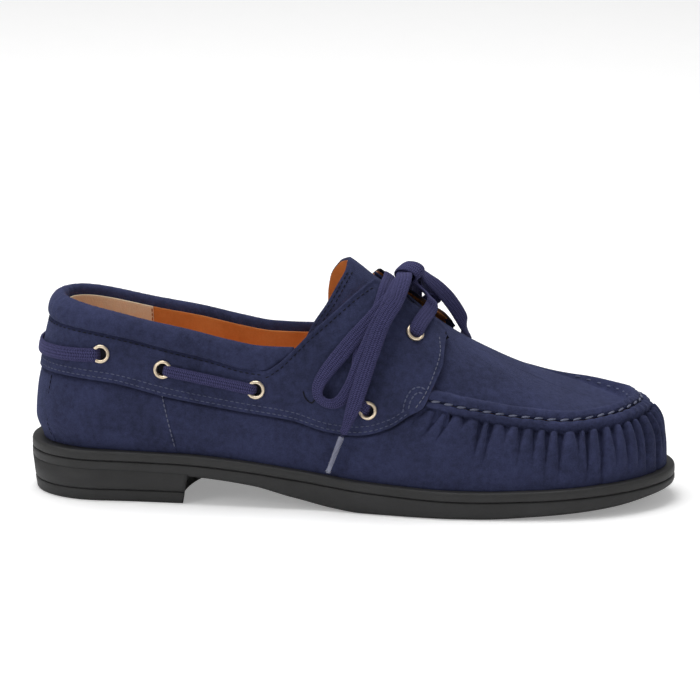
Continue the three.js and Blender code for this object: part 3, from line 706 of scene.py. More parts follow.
def ribbon(name, route, finish, settings, nodes=()):
    # route is (point, way out of the flat face) pairs; the strap's width runs across both
    count = settings["stops"]
    stops, length = splineThrough([p for p, _ in route], count)
    chords = np.concatenate(([0.0], np.cumsum([(b[0] - a[0]).length for a, b in zip(route, route[1:])])))
    faces = np.array([list(n) for _, n in route])
    width, thick = settings["width"], settings["thickness"]
    sides = 16
    frames = []
    for k, stop in enumerate(stops):
        along = (stops[min(k + 1, count)] - stops[max(k - 1, 0)]).normalized()
        at = chords[-1] * k / count
        out = Vector([float(np.interp(at, chords, faces[:, j])) for j in range(3)])
        out = (out - along * out.dot(along)).normalized()
        frames.append((stop, along.cross(out), out))

    def placeAt(u, v):
        k = min(count, round(u * count))
        stop, across, out = frames[k]
        turn = 2 * math.pi * v
        squareX = math.copysign(abs(math.cos(turn)) ** 0.45, math.cos(turn))
        squareZ = math.copysign(abs(math.sin(turn)) ** 0.8, math.sin(turn))
        end = 0.02 if k in (0, count) else 1.0
        narrow = settings.get("narrow", lambda t: 1.0)(u)
        cup = settings.get("cup", 0.12) * squareX * squareX
        sideways, raised = squareX * width / 2 * narrow, squareZ * thick / 2 - cup
        return stop + across * (sideways * end) + out * (raised * end)

    mesh = gridMesh(count, sides, placeAt, (length, 2 * width))
    weld(mesh)
    bmesh.ops.recalc_face_normals(mesh, faces=mesh.faces[:])
    piece = keepPiece(mesh, name, finish, "lace", nodes)
    return piece, [[c * mm for c in stop] for stop in stops], length


def measured(pointAt, pitch, samples=90):
    # stops every pitch along a line given by pointAt(t) -> (point, way out)
    found = [pointAt(k / samples) for k in range(samples + 1)]
    points = np.array([list(p) for p, _ in found])
    outs = np.array([list(n) for _, n in found])
    lengths = np.concatenate(([0.0], np.cumsum(np.linalg.norm(np.diff(points, axis=0), axis=1))))
    count = max(1, int(lengths[-1] / pitch))
    first = (lengths[-1] - (count - 1) * pitch) / 2
    spots = []
    for k in range(count):
        at = first + k * pitch
        here = Vector([float(np.interp(at, lengths, points[:, j])) for j in range(3)])
        ahead = Vector([float(np.interp(at + 0.4, lengths, points[:, j])) for j in range(3)])
        behind = Vector([float(np.interp(at - 0.4, lengths, points[:, j])) for j in range(3)])
        out = Vector([float(np.interp(at, lengths, outs[:, j])) for j in range(3)]).normalized()
        spots.append((here, (ahead - behind).normalized(), out))
    return spots


def stitches(name, spots, settings, finish):
    mesh = bmesh.new()
    mesh.loops.layers.uv.new("surface")
    for here, along, out in spots:
        if settings.get("tilt"):
            along = Matrix.Rotation(math.radians(settings["tilt"]), 3, out) @ along
        across = out.cross(along).normalized()
        out = along.cross(across)
        made = bmesh.ops.create_uvsphere(mesh, u_segments=7, v_segments=6, radius=0.5)["verts"]
        turned = Matrix((across, out, along)).transposed().to_4x4()
        sizes = Matrix.Diagonal((settings["width"] * mm, settings["high"] * mm, settings["length"] * mm, 1))
        spot = Matrix.Translation((here + out * settings["lift"]) * mm)
        bmesh.ops.transform(mesh, matrix=spot @ turned @ sizes, verts=made)
    return keepPiece(mesh, name, finish, "lace" if "Thread" in finish else "suede")


def sideLine(side, fromX, toX, heightAt, grow):
    # a line of the side view laid on the skin, as measured() wants it
    def pointAt(t):
        x = fromX + (toX - fromX) * t
        return place(x, heightAt(x), side, grow)
    return pointAt


# Free laces: they come first, along the frame's own cords to within some millimetres.

laceFlat = {"width": 7.4, "thickness": 1.5}


def hang(x, height, side, out):
    return place(x, height, side, out)[0]


def facing(x, height, side, tip=(0, 0, 0)):
    return (place(x, height, side, 0)[1] + Vector(tip)).normalized()


knotShape = {"centre": Vector((26.6, -2, 105.0)), "axis": Vector((-0.45, -0.82, -0.35)).normalized(),
             "across": 5.6, "high": 3.4, "turns": 1.15}
knotSide = knotShape["axis"].cross(Vector((0, 0, 1))).normalized() * -1
knotUp = knotSide.cross(knotShape["axis"]).normalized()
if knotUp.z < 0:
    knotUp = -knotUp


def inKnot(along, side, up):  # a spot inside the wrap: along its axis, to its side and up
    return knotShape["centre"] + knotShape["axis"] * along + knotSide * side + knotUp * up


def strand(rows, side):  # rows of x, height, distance out and lean of the flat face
    return [(hang(x, z, side, out), facing(x, z, side, lean)) for x, z, out, lean in rows]


level = (0, 0, 0)
routes = {
    "loop_lateral": [
        (inKnot(-2, -0.8, -1.7), knotUp),
        (inKnot(4.2, -1.2, -1.8), knotUp),
        (Vector((24.2, -14.8, 101.6)), Vector((-0.25, -0.6, 0.8))),
        *strand([(19.3, 96.6, 4.2, level), (12.0, 89.2, 4.0, level), (4.0, 80.8, 4.2, level),
                 (-3.5, 71.8, 4.6, level), (-9, 64.7, 5, (-0.1, 0, 0)), (-12.2, 58.6, 5.2, (-0.4, 0, -0.2)),
                 (-11.6, 53.7, 5.5, (-0.3, 0, -0.6)),
                 (-6.8, 51.3, 6, (0, 0, -0.7)), (-1.7, 53, 6, (0.3, 0, -0.4)), (2.9, 59.3, 6, (0.2, 0, 0)),
                 (6.9, 68.5, 6.9, level), (10.8, 77.9, 7.4, level), (14.8, 87, 7.6, level),
                 (19.2, 95.0, 7.8, level)], -1),
        (Vector((23.6, -16.0, 104.3)), Vector((-0.15, -0.6, 0.8))),
        (inKnot(4.2, -0.5, 0), knotUp),
        (inKnot(-2, 0.2, 0), knotUp),
    ],
    "loop_medial": [
        (inKnot(1.5, 0.5, 1.5), knotUp),
        (inKnot(-3.5, 1.0, 1.0), Vector((0.3, 0.1, 0.9))),
        (Vector((34.4, 3.0, 100.8)), Vector((0.5, -0.4, 0.55))),
        (Vector((38.8, 6.5, 96.2)), Vector((0.6, -0.55, 0.35))),
        (Vector((43.4, 10.5, 90.2)), Vector((0.55, -0.66, 0.2))),
        (Vector((47.8, 14.5, 82.6)), Vector((0.55, -0.66, 0.2))),
        (Vector((50.8, 19.0, 74.8)), Vector((0.66, -0.5, 0.3))),
        *strand([(50, 66, 6.5, (0.6, 0, 0)), (47.5, 56, 6.5, (0.4, 0, -0.3)), (39, 50.5, 6.5, (0, 0, -0.7)),
                 (31, 57, 6.5, level), (28, 75, 6.5, level), (27.5, 90, 6.5, level)], 1),
        (inKnot(-5, -0.5, -0.4), Vector((-0.1, 0.4, 0.9))),
        (inKnot(1, -0.3, -0.2), knotUp),
    ],
    "end_lateral": [
        (inKnot(-2, 0.2, 1.7), knotUp),
        (inKnot(4.8, 0.1, 1.7), knotUp),
        (Vector((25.3, -17.5, 105.4)), Vector((-0.05, -0.6, 0.8))),
        *strand([(23.0, 97.9, 9.2, level), (20.0, 93.6, 9.4, level), (16.9, 87.8, 9.4, level),
                 (13.7, 78.8, 9.2, level), (10.8, 69.9, 8.7, level), (7.5, 59.5, 7.9, level),
                 (4.1, 49.2, 7.4, level), (1.3, 41.5, 6.9, level), (-0.5, 37.4, 6.4, level)], -1),
    ],
    "end_medial": [
        (inKnot(2, -1, -1.5), knotUp),
        (inKnot(-5, -1.5, -1.6), Vector((-0.1, 0.3, 0.9))),
        *strand([(20, 90, 7, level), (12, 62, 7.5, level), (6, 44, 8, level), (4.5, 39.5, 7.5, level)], 1),
    ],
}
agletRoutes = {
    "aglet_lateral": (hang(-0.8, 36.6, -1, 6.3), hang(-7.3, 19.1, -1, 4.6)),
    "aglet_medial": (hang(4.2, 38.1, 1, 7.3), hang(0.5, 22.5, 1, 6)),
}


def makeAglet(name, start, end):
    # a clear sleeve shrunk on the lace, a little flared at its open end
    profile = ((0, 0.2), (0, 1.35), (0.05, 1.6), (0.5, 1.4), (0.93, 1.25), (1, 1.5), (1, 0.2))
    length = (end - start).length
    mesh = bmesh.new()
    mesh.loops.layers.uv.new("surface")
    points = [mesh.verts.new(Vector((radius, 0, t * length)) * mm) for t, radius in profile]
    edges = [mesh.edges.new(pair) for pair in zip(points, points[1:])]
    bmesh.ops.spin(mesh, geom=points + edges, axis=(0, 0, 1), cent=(0, 0, 0), dvec=(0, 0, 0),
                   angle=2 * math.pi, steps=20, use_merge=True)
    turned = (end - start).to_track_quat("Z", "Y").to_matrix().to_4x4()
    flat = Matrix.Diagonal((1.0, 0.85, 1.0, 1.0))
    bmesh.ops.transform(mesh, matrix=Matrix.Translation(start * mm) @ turned @ flat, verts=mesh.verts[:])
    bmesh.ops.holes_fill(mesh, edges=[e for e in mesh.edges if e.is_boundary], sides=0)
    bmesh.ops.recalc_face_normals(mesh, faces=mesh.faces[:])
    return keepPiece(mesh, name.replace("_", "") + "Sleeve", "clearSleeve", "aglet", (name,))


def makeKnot():
    # the lace wrapped once round the strands and tucked in beneath them
    ring = []
    for k in range(19):
        turn = math.radians(-150 + 360 * knotShape["turns"] * k / 18)
        slide = 0.9 - 2.0 * k / 18
        spoke = knotSide * math.sin(turn) * knotShape["across"] + knotUp * math.cos(turn) * knotShape["high"]
        spoke *= 1 - 0.16 * smooth(14, 18, k)
        ring.append((inKnot(slide, 0, 0) + spoke, spoke.normalized()))
    wrap, _, _ = ribbon("knotWrap", ring, "lace", {"stops": 96, "width": 7.8, "thickness": 1.5}, ("knot",))
    return wrap


def loopTaper(t):  # narrower where a loop turns back
    return 1 - 0.22 * bump(0.5, 0.16, t)


def endTaper(t):  # gathered into the aglet
    return 1 - 0.5 * smooth(0.82, 1, t)


def makeCords():
    knot = makeKnot()
    for name, route in routes.items():
        loops = name.startswith("loop")
        taper = loopTaper if loops else endTaper
        piece, path, length = ribbon(name.replace("_", "") + "Lace", route, "lace",
                                     {"stops": 150 if loops else 80, **laceFlat, "narrow": taper}, (name,))
        together = [knot] if name == "loop_lateral" else []
        if not loops:
            aglet = name.replace("end", "aglet")
            together = [makeAglet(aglet, *agletRoutes[aglet])]
            start, end = agletRoutes[aglet]
            core = [(route[-1][0], route[-1][1]), (start.lerp(end, 0.85), route[-1][1])]
            inner, _, _ = ribbon(name.replace("_", "") + "Core", core, "lace",
                                 {"stops": 12, "width": 1.7, "thickness": 1.3})
            together.append(inner)
        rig.cord(piece, exit=path[0], length=length * mm, diameter=laceFlat["width"] * mm, stiffness="limp",
                far_end="object" if loops else "fitting", lay="hanging", path=path, with_pieces=together)


makeCords()
print("bow made")

# Sole: welt layer, outsole unit, heel block and lift, footbed.

soleShape = {"welt": 4.6, "columns": 150, "across": 14}
tread = {"pitch": 7.5, "wide": 1.5, "deep": 1.1, "wave": 2.2, "waveLength": 15.0}
breast = {"x": 7.4, "y": -16.0, "radius": 85.0, "lean": 0.135}


def topAt(along):
    return line["top"](along)


def weltUnderAt(along):
    return line["top"](along) - soleShape["welt"]


def underAt(along):
    return line["under"](along)


def treadAt(x, y):  # wavy siping cut up into the underside
    phase = (x + tread["wave"] * math.sin(2 * math.pi * y / tread["waveLength"])) % tread["pitch"]
    return tread["deep"] * bump(tread["pitch"] / 2, tread["wide"], phase)


def soleSolid(name, profile, finish, slot, nodes, dip=lambda x, y: 0.0, fine=(0, 0), cut=lambda x, y: 0.0):
    # walls through (inset, height) rows from the lower edge to the upper, closed below and above
    def edgeAt(u, row):
        inset, heightAt = profile[row]
        along, x, y = soleEdge(*ringStop(2 * math.pi * u * (1 - 1e-12)), inset)
        return Vector((x, y, heightAt(along)))

    def capAt(row, relief):
        inset, heightAt = profile[row]

        def placeAt(u, v):
            station = half * (1 - math.cos(math.pi * u))
            along, x, low = soleEdge(station, -1, inset)
            high = soleEdge(station, 1, inset)[2]
            y = low + (high - low) * v
            inside = smooth(0, 5, (high - low) * min(v, 1 - v))
            return Vector((x, y, heightAt(along) + relief(x, y) * inside))
        return placeAt

    columns = fine[0] or soleShape["columns"]
    rows = len(profile) - 1
    mesh = gridMesh(2 * columns, rows, lambda u, v: edgeAt(u, round(v * rows)))
    addGrid(mesh, columns, fine[1] or soleShape["across"], capAt(0, cut))
    addGrid(mesh, columns, fine[1] or soleShape["across"], capAt(rows, dip))
    weld(mesh, 0.01)
    bmesh.ops.recalc_face_normals(mesh, faces=mesh.faces[:])
    return keepPiece(mesh, name, finish, slot, nodes)


def breastAt(y, height):
    radius = breast["radius"] - breast["lean"] * height
    return breast["x"] - math.sqrt(radius ** 2 - (y - breast["y"]) ** 2)


def heelSolid(name, levels, nodes=()):
    # the heel's own outline from corner to corner, closed by the hollow breast
    def corner(side, inset, height):
        station = 75.0
        for _ in range(12):
            _, x, y = soleEdge(station, side, inset)
            station += breastAt(y, height) - x
        return station

    rows = len(levels) - 1
    corners = [(corner(-1, *level), corner(1, *level)) for level in levels]

    def edgeAt(u, row):
        outer, inner = corners[row]
        side, reach = (-1, outer) if u < 0.5 else (1, inner)
        share = abs(2 * u - 1)
        station = reach * (1 - math.cos(math.pi / 2 * share)) if share < 1 else reach
        _, x, y = soleEdge(station, side, levels[row][0])
        return Vector((x, y, levels[row][1]))

    def frontAt(v, row):
        low, high = edgeAt(0, row), edgeAt(1, row)
        y = low.y + (high.y - low.y) * v
        return Vector((breastAt(y, levels[row][1]), y, levels[row][1]))

    def capAt(row):
        def placeAt(u, v):
            low, high = edgeAt(0.5 - u / 2, row), edgeAt(0.5 + u / 2 if u > 0 else 0.5, row)
            chord = edgeAt(0, row).lerp(edgeAt(1, row), v)
            hollow = frontAt(v, row) - chord
            spot = low.lerp(high, v) + Vector((hollow.x, 0, 0)) * u ** 4
            inside = smooth(0, 4, (high - low).length * min(v, 1 - v)) * smooth(0, 0.08, min(u, 1 - u))
            return spot + Vector((0, 0, treadAt(spot.x, spot.y) * inside if row == 0 and nodes else 0))
        return placeAt

    mesh = gridMesh(120, rows, lambda u, v: edgeAt(u, round(v * rows)))
    addGrid(mesh, 40, rows, lambda u, v: frontAt(u, round(v * rows)))
    addGrid(mesh, 60, 40, capAt(0))
    addGrid(mesh, 60, 40, capAt(rows))
    weld(mesh, 0.02)
    bmesh.ops.recalc_face_normals(mesh, faces=mesh.faces[:])
    return keepPiece(mesh, name, "rubber", "rubber", nodes)


def makeSole():
    soleSolid("weltLayer", [
        (1.0, lambda a: weltUnderAt(a) - 0.1),
        (0.1, lambda a: weltUnderAt(a) + 0.55),
        (0.0, lambda a: weltUnderAt(a) + 0.9),
        (0.0, lambda a: topAt(a) - 1.3),
        (0.25, lambda a: topAt(a) - 0.5),
        (0.8, lambda a: topAt(a) - 0.1),
        (1.5, topAt),
        (9.0, topAt),
    ], "rubber", "rubber", ("midsole",))
    soleSolid("outsoleUnit", [
        (2.4, underAt),
        (1.2, lambda a: underAt(a) + 0.25),
        (0.4, lambda a: underAt(a) + 0.9),
        (0.0, lambda a: underAt(a) + 2.0),
        (0.0, lambda a: weltUnderAt(a) - 0.9),
        (0.1, lambda a: weltUnderAt(a) - 0.55),
        (1.0, lambda a: weltUnderAt(a) + 0.05),
    ], "rubber", "rubber", ("outsole",), fine=(420, 36), cut=treadAt)
    heelSolid("heelBlock", [(1.8, 5.7), (1.25, 6.3), (1.15, 6.9), (0.1, 15.5)])
    heelSolid("heelLift", [(3.0, 0.0), (2.2, 0.3), (1.9, 0.9), (1.3, 4.9), (1.8, 5.6)], ("heel_lift",))
    soleSolid("footbed", [
        (6.6, lambda a: topAt(a) + 0.2),
        (6.2, lambda a: topAt(a) + 1.0),
        (6.2, lambda a: topAt(a) + 2.2),
        (6.9, lambda a: topAt(a) + 2.9),
        (8.0, lambda a: topAt(a) + 3.2),
    ], "lining", "lining", ("insole",), lambda x, y: -0.9 * bump(-112, 45, x))


makeSole()
print("sole made")

# Lower wall: gathered vamp, quarters and heel strip.

pleats = {
    "pitch": 6.3,
    "depth": 4.0,
    "reach": 23.0,
    "firstX": 34.0,
    "roll": {"centre": 1.5, "reach": 1.45, "high": 1.8},
    "stitchPitch": 6.0,
}
pleatFrom = distanceOf(pleats["firstX"] + half, -1)
pleatTo = distanceOf(pleats["firstX"] + half, 1)
pleatCount = round((pleatTo - pleatFrom) / pleats["pitch"])


def scatter(k, seed):  # the same small unevenness each run, from -1 to 1
    return math.sin(12.9898 * k + 78.233 * seed) * math.cos(4.1 * k * seed + seed)


valleys = [pleatFrom + (pleatTo - pleatFrom) * k / pleatCount + 1.5 * scatter(k, 1)
           for k in range(pleatCount + 1)]


def seamHeight(station, side):
    return line["seamOuter" if side < 0 else "seamInner"](station)


def wallTop(station, side):
    under = heightOn(station, side, "saddleLow") + 8
    return under + (seamHeight(station, side) - under) * smooth(176, 190, station)


def gather(distance, below):
    # how far the vamp stands in or out at a distance round the shoe, below mm under the seam
    fromEnd = min(distance - pleatFrom, pleatTo - distance)
    lean = 0.72 * math.exp(-max(0.0, fromEnd) / 24) * (1 if distance < toeDistance else -1)
    where = distance + lean * below
    k = bisect_right(valleys, where) - 1
    if k < 0 or k >= pleatCount:
        return 0.0
    share = (where - valleys[k]) / (valleys[k + 1] - valleys[k])
    edge = k if share < 0.5 else k + 1
    toe = bump(toeDistance, 110, distance)
    reach = pleats["reach"] * (0.8 + 0.45 * scatter(edge, 2) + 0.55 * toe)
    fade = max(0.0, 1 - below / reach) ** 0.75
    breadth = 0.62 + 0.38 * smooth(3, 0.8 * reach, below)
    fold = math.sqrt(1 - min(1.0, (2 * share - 1) / breadth) ** 2) if abs(2 * share - 1) < breadth else 0.0
    depth = pleats["depth"] * (1 + 0.3 * scatter(edge, 3)) * smooth(-6, 8, fromEnd)
    crest = (0.9 + 0.35 * scatter(k, 4)) * bump(7.5, 16, below) * smooth(-4, 10, fromEnd)
    return (crest - depth * fade * (1 - fold)) * smooth(2.6, 4.2, below)


@lru_cache(maxsize=4000)
def bandEdge(station, side):
    return heightOn(station, side, "saddleLow", shoe["saddleOut"])


def underBand(station, side, z):  # drawn in along the saddle's edge, and at the welt most at the heel
    above = z - line["top"](station)
    tuck = -(0.5 + 2.0 * (1 - smooth(8, 60, station))) * (1 - smooth(0, 11, above))
    if station > 190:
        return tuck
    return tuck - 1.3 * bump(0.2, 2.2, z - bandEdge(station, side))


def vampLift(distance, below, station, z):
    roll = pleats["roll"]
    forward = smooth(182, 192, station)
    pinch = 0.5 + 0.5 * math.cos(2 * math.pi * distance / pleats["stitchPitch"])
    toeTip = bump(toeDistance, 30, distance)
    high = (roll["high"] - 0.65 * pinch) * (1 - 0.3 * toeTip)
    ridge = high * math.sqrt(max(0.0, 1 - ((below - roll["centre"]) / roll["reach"]) ** 2))
    tuck = -0.6 * bump(0, 0.8, below) - 1.3 * bump(3.5, 1.0, below)
    sway = 0.3 * math.sin(distance / 7.3) * math.sin(z / 5.1 + distance / 19) * smooth(8, 16, below)
    return forward * (ridge + tuck + sway) + gather(distance, below)


vamp = {"backStation": 60, "gatherStation": 172, "columns": 600, "rows": 54, "leather": 0.9}


def makeVamp():
    backLow, backHigh = (distanceOf(vamp["backStation"], side) for side in (-1, 1))
    frontLow, frontHigh = (distanceOf(vamp["gatherStation"], side) for side in (-1, 1))
    stops = np.concatenate((
        np.linspace(backLow, frontLow, 60, endpoint=False),
        np.linspace(frontLow, frontHigh, vamp["columns"], endpoint=False),
        np.linspace(frontHigh, backHigh, 61),
    ))

    def placeAt(u, v):
        distance = float(stops[round(u * (len(stops) - 1))])
        station, side = around(distance)
        top = wallTop(station, side)
        high = riseAt(station, side, top)
        rise = high * (1 - (1 - v) ** 1.35)
        base = skin(station, side, rise)
        lift = vampLift(distance, top - base.z, station, base.z) + underBand(station, side, base.z)
        return base + outward(station, side, rise) * lift if lift else base

    mesh = gridMesh(len(stops) - 1, vamp["rows"], placeAt)
    turnFaces(mesh)
    piece = keepPiece(mesh, "gatheredVamp", "suede", "suede", ("upper",))
    thicken(piece, vamp["leather"])


quarter = {"lateralX": -84.3, "lean": -0.24, "stand": 0.3, "high": 36}


def makeQuarter(name, side):
    # rear quarter, lapped over the vamp along a slanting seam
    edge = distanceOf(quarter["lateralX"] + half, side)
    reach = edge if side < 0 else girth[-1] - edge
    near = 9.0

    def placeAt(u, v):
        slant = quarter["lean"] * (v - 0.5) * quarter["high"]
        station, _ = around(near + (reach + slant - near) * u)
        high = riseAt(station, side, min(66.0, heightOn(station, side, "saddleLow", 0.7) + 8), 0.7)
        base = skin(station, side, high * v, quarter["stand"])
        return base + outward(station, side, high * v) * underBand(station, side, base.z)

    mesh = gridMesh(70, 34, placeAt)
    turnFaces(mesh)
    piece = keepPiece(mesh, name, "suede", "suede")
    thicken(piece, vamp["leather"], rounding=0.25)


heelStrip = {"half": 20.0, "stand": 0.6, "hollowAt": 42, "hollowReach": 15, "hollow": 0.7, "seam": 18.9}


def heelTuck(station, side, z):  # under the band, and a little hollow half way up
    hollow = heelStrip["hollow"] * bump(heelStrip["hollowAt"], heelStrip["hollowReach"], z)
    return underBand(station, side, z) - hollow


def makeHeelStrip():
    def placeAt(u, v):
        distance = (2 * u - 1) * heelStrip["half"] * (1 - 0.06 * v)
        station, side = around(distance)
        high = riseAt(station, side, heightOn(station, side, "saddleLow", 1.0) + 6, 1.0)
        base = skin(station, side, high * v, heelStrip["stand"])
        return base + outward(station, side, high * v) * heelTuck(station, side, base.z)

    mesh = gridMesh(44, 34, placeAt)
    turnFaces(mesh)
    piece = keepPiece(mesh, "heelStrip", "suede", "suede")
    thicken(piece, vamp["leather"], rounding=0.25)


makeVamp()
makeQuarter("quarterLateral", -1)
makeQuarter("quarterMedial", 1)
makeHeelStrip()
print("lower wall made")

# Apron and its raised seam.

apron = {"ridge": 2.5, "ridgeAt": 2.6, "ridgeReach": 2.9, "blend": (3.8, 7.0)}
plateau = {
    "top": curveThrough(((50, 80), (60, 69.6), (72, 62), (83, 56.8), (102, 48.8), (118, 44.5), (130, 42.6),
                         (150, 41.5))),
    "foot": curveThrough(((50, 62), (60, 56.5), (72, 53.4), (83, 51), (102, 45.2), (118, 41.8), (130, 41),
                          (150, 40.5))),
    "half": curveThrough(((50, 36), (83, 37.5), (102, 36.5), (118, 31), (130, 24.6), (140, 14))),
}


def settle(point, weight=1.0, below=0.0):
    # the apron ahead of the tongue lies as a low soft dome inside its raised seam
    if point.x < 50:
        return point
    middle = line["centre"](point.x + half) + centring + 2.2 * smooth(80, 110, point.x)
    spread = min(1.0, (abs(point.y - middle) / plateau["half"](point.x)) ** 2.7)
    foot, top = plateau["foot"](point.x), plateau["top"](point.x)
    excess = point.z - (foot + (top - foot) * (1 - spread) - below)
    drop = 0.5 * (excess + math.sqrt(excess * excess + 0.6))
    return point - Vector((0, 0, drop * weight * smooth(50, 62, point.x)))


def throatHalf(x):
    if x > 29:
        return 0.0
    rounding = math.sqrt(min(1.0, max(0.0, (29 - x) / 9)))
    return line["throat"](x) * rounding


def throatRise(station, side, grow, halfAt):
    # the rise at which the skin reaches the throat's edge
    low, high = 0.3, 1.0
    for _ in range(22):
        middle = (low + high) / 2
        point = skin(station, side, middle, grow)
        centre = line["centre"](point.x + half) + centring
        if abs(point.y - centre) > halfAt(point.x):
            low = middle
        else:
            high = middle
    return high


def dome(centre, reach, x):  # a rounded ridge
    return math.sqrt(max(0.0, 1 - ((x - centre) / reach) ** 2))


def makeApron():
    start, end = distanceOf(160, -1), distanceOf(160, 1)
    columns, rows = 420, 72

    def placeAt(u, v):
        distance = start + (end - start) * u
        station, side = around(distance)
        low = riseAt(station, side, wallTop(station, side))
        high = throatRise(station, side, 0, throatHalf) if station < 181 else 1.0
        rise = low + (high - low) * v ** 1.55
        base = skin(station, side, rise)
        away = (base - skin(station, side, low)).length
        forward = smooth(180, 190, station)
        pinch = 0.5 + 0.5 * math.cos(2 * math.pi * distance / pleats["stitchPitch"])
        toeTip = bump(toeDistance, 30, distance)
        high = (apron["ridge"] - 0.6 * pinch * bump(1.0, 2.4, away)) * (1 - 0.4 * toeTip)
        high *= 1 - 0.5 * (side > 0) * (1 - smooth(236, 262, station))
        lift = high * dome(apron["ridgeAt"], apron["ridgeReach"], away) - 0.9 * bump(0, 1.0, away)
        out = outward(station, side, min(rise, 0.985))
        settled = settle(base, smooth(*apron["blend"], away))
        return settled + out * (lift * forward)

    mesh = gridMesh(columns, rows, placeAt)
    weld(mesh)
    turnFaces(mesh)
    piece = keepPiece(mesh, "apron", "suede", "suede", ("apron_seam",))
    thicken(piece, vamp["leather"])


def seamLine(depth=0.35, inside=0.0):
    start, end = distanceOf(188, -1), distanceOf(188, 1)
    if inside:
        start, end = toeDistance - 24, distanceOf(252, 1)

    def pointAt(t):
        station, side = around(start + (end - start) * t)
        rise = riseAt(station, side, seamHeight(station, side))
        base, out = skin(station, side, rise), outward(station, side, rise)
        if not inside:
            return base + out * depth, out
        further = skin(station, side, min(1.0, rise + 0.012))
        across = (further - base).normalized()
        return settle(base + across * inside, 0.6) + out * depth, (out + across).normalized()
    return pointAt


makeApron()
seamStitch = {"length": 4.4, "width": 1.25, "high": 1.0, "lift": 0.0, "tilt": 11}
stitches("apronStitches", measured(seamLine(1.0), pleats["stitchPitch"], 240), seamStitch, "paleThread")
stitches("apronInnerStitches", measured(seamLine(1.0, 5.6), pleats["stitchPitch"], 240),
         {**seamStitch, "length": 3.0}, "blueThread")
print("apron made")

# Saddle, collar, tongue and linings.

eyelets = {"heel": (-114.2, 69.3), "side": (-85, 63.1), "waist": (-41.4, 55.6), "low": (11, 48.6),
           "throat": (31.6, 82.6)}
eyelet = {"outer": 4.35, "bore": 2.75, "rim": 0.8, "seat": 2.45}
holeCentres = [(place(x, z, side, eyelet["seat"])[0]) for x, z in eyelets.values() for side in (-1, 1)]


def pierce(mesh, radius=3.3):
    near = [face for face in mesh.faces
            if any((face.calc_center_median() / mm - hole).length < radius for hole in holeCentres)]
    bmesh.ops.delete(mesh, geom=near, context="FACES")


def saddleHigh(station, side, grow):
    rise = riseAt(station, side, heightOn(station, side, creaseOf[side], grow), grow)
    if station > 150:
        rise = 1.0 if station > 163 else rise
        rise = min(rise, throatRise(station, side, grow, line["throat"]))
        if station > half + 26:
            lower = 3.5 * smooth(28, 40, station - half) if side > 0 else 0.0
            rise = min(rise, riseAt(station, side, line["tabHigh"](station - half) - lower, grow))
    return rise


def frontLift(x):  # the tab's front edge stands up a little
    return 0.7 * smooth(30, 42, x)


def tabLift(station, side, rise, high):
    # the tabs spring off the apron near the throat, the inner one more
    x = station - half
    nearEdge = 1 - smooth(0.0, 0.2 if side > 0 else 0.12, high - rise)
    forward = smooth(20, 40, x)
    forward *= 1 - smooth(40, 45, x)
    return (0.8 if side > 0 else 1.2) * nearEdge * forward + frontLift(x)


def makeSaddle():
    grow = shoe["saddleOut"]
    reach = distanceOf(44.9 + half, -1)
    columns, rows = 360, 58

    def placeAt(u, v):
        share = 2 * u - 1
        side = -1 if share < 0 else 1
        distance = reach * (1 - (1 - abs(share)) ** 1.12)
        station, _ = around(distance)
        low = riseAt(station, side, min(heightOn(station, side, "saddleLow", grow), 74.0), grow)
        high = max(low, saddleHigh(station, side, grow))
        rise = low + (high - low) * v
        lift = tabLift(station, side, rise, high)
        base = skin(station, side, rise, grow)
        fromTop = (base - skin(station, side, high, grow)).length
        beside = smooth(106, 118, station)
        lift += 0.6 * beside * bump(0.9, 1.8, fromTop) - 1.1 * (1 - beside) * bump(0, 2.2, fromTop)
        return base + outward(station, side, min(rise, 0.98), grow) * lift if abs(lift) > 0.01 else base

    mesh = gridMesh(columns, rows, placeAt)
    weld(mesh)
    pierce(mesh)
    turnFaces(mesh)
    for face in mesh.faces:  # the tabs' front corners have no leather behind them, so their backs take the shaded suede, painted shade
        face.material_index = 3 if face.calc_center_median().x > 0.0425 else 0
    # the saddle's rim takes the shaded cut edge, painted shade along the band
    layers = ("suede", "cutEdge", "lining", "suede", "cutEdge", "suedeDark")
    piece = keepPiece(mesh, "saddle", layers, "suede", ("saddle",))
    thicken(piece, 1.5, rim=1, back=2, rounding=0.3)


collar = {"depth": 0.3, "thick": 4.3, "front": {-1: 126.5, 1: 132.0}}


def collarPoint(share, turn, swellBy=0.0):
    side = -1 if share < 0 else 1
    t = abs(share)
    station = collar["front"][side] * t ** 1.25
    taper = 1 - 0.62 * smooth(0.72, 1, t)
    grow = -collar["depth"] + (collar["thick"] + swellBy) * taper * math.cos(turn)
    high = heightOn(station, side, "collarTop", grow)
    low = min(heightOn(station, side, creaseOf[side], grow) - 0.9, high - 6.5)
    height = (low + high) / 2 + ((high - low) / 2 + swellBy * 0.5) * math.sin(turn)
    return skin(station, side, riseAt(station, side, height, grow), grow)


def makeCollar():
    columns, sides = 260, 36

    def placeAt(u, v):
        share = 2 * u - 1
        pucker = 0.16 * math.sin(150 * share + 3 * math.sin(17 * share)) * math.sin(31 * share + 1)
        pucker *= bump(0, 1, share)
        end = 0.06 if u in (0.0, 1.0) else 1.0
        point = collarPoint(share, 2 * math.pi * v, pucker)
        return collarPoint(share, math.pi, 0).lerp(point, end) if end < 1 else point

    mesh = gridMesh(columns, sides, placeAt)
    weld(mesh)
    bmesh.ops.recalc_face_normals(mesh, faces=mesh.faces[:])
    piece = keepPiece(mesh, "paddedCollar", "suede", "suede", ("collar",))
    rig.padded(piece, fill=0.85)


def liningTop(station, side):
    return heightOn(station, side, "collarTop", -4) - 4.6


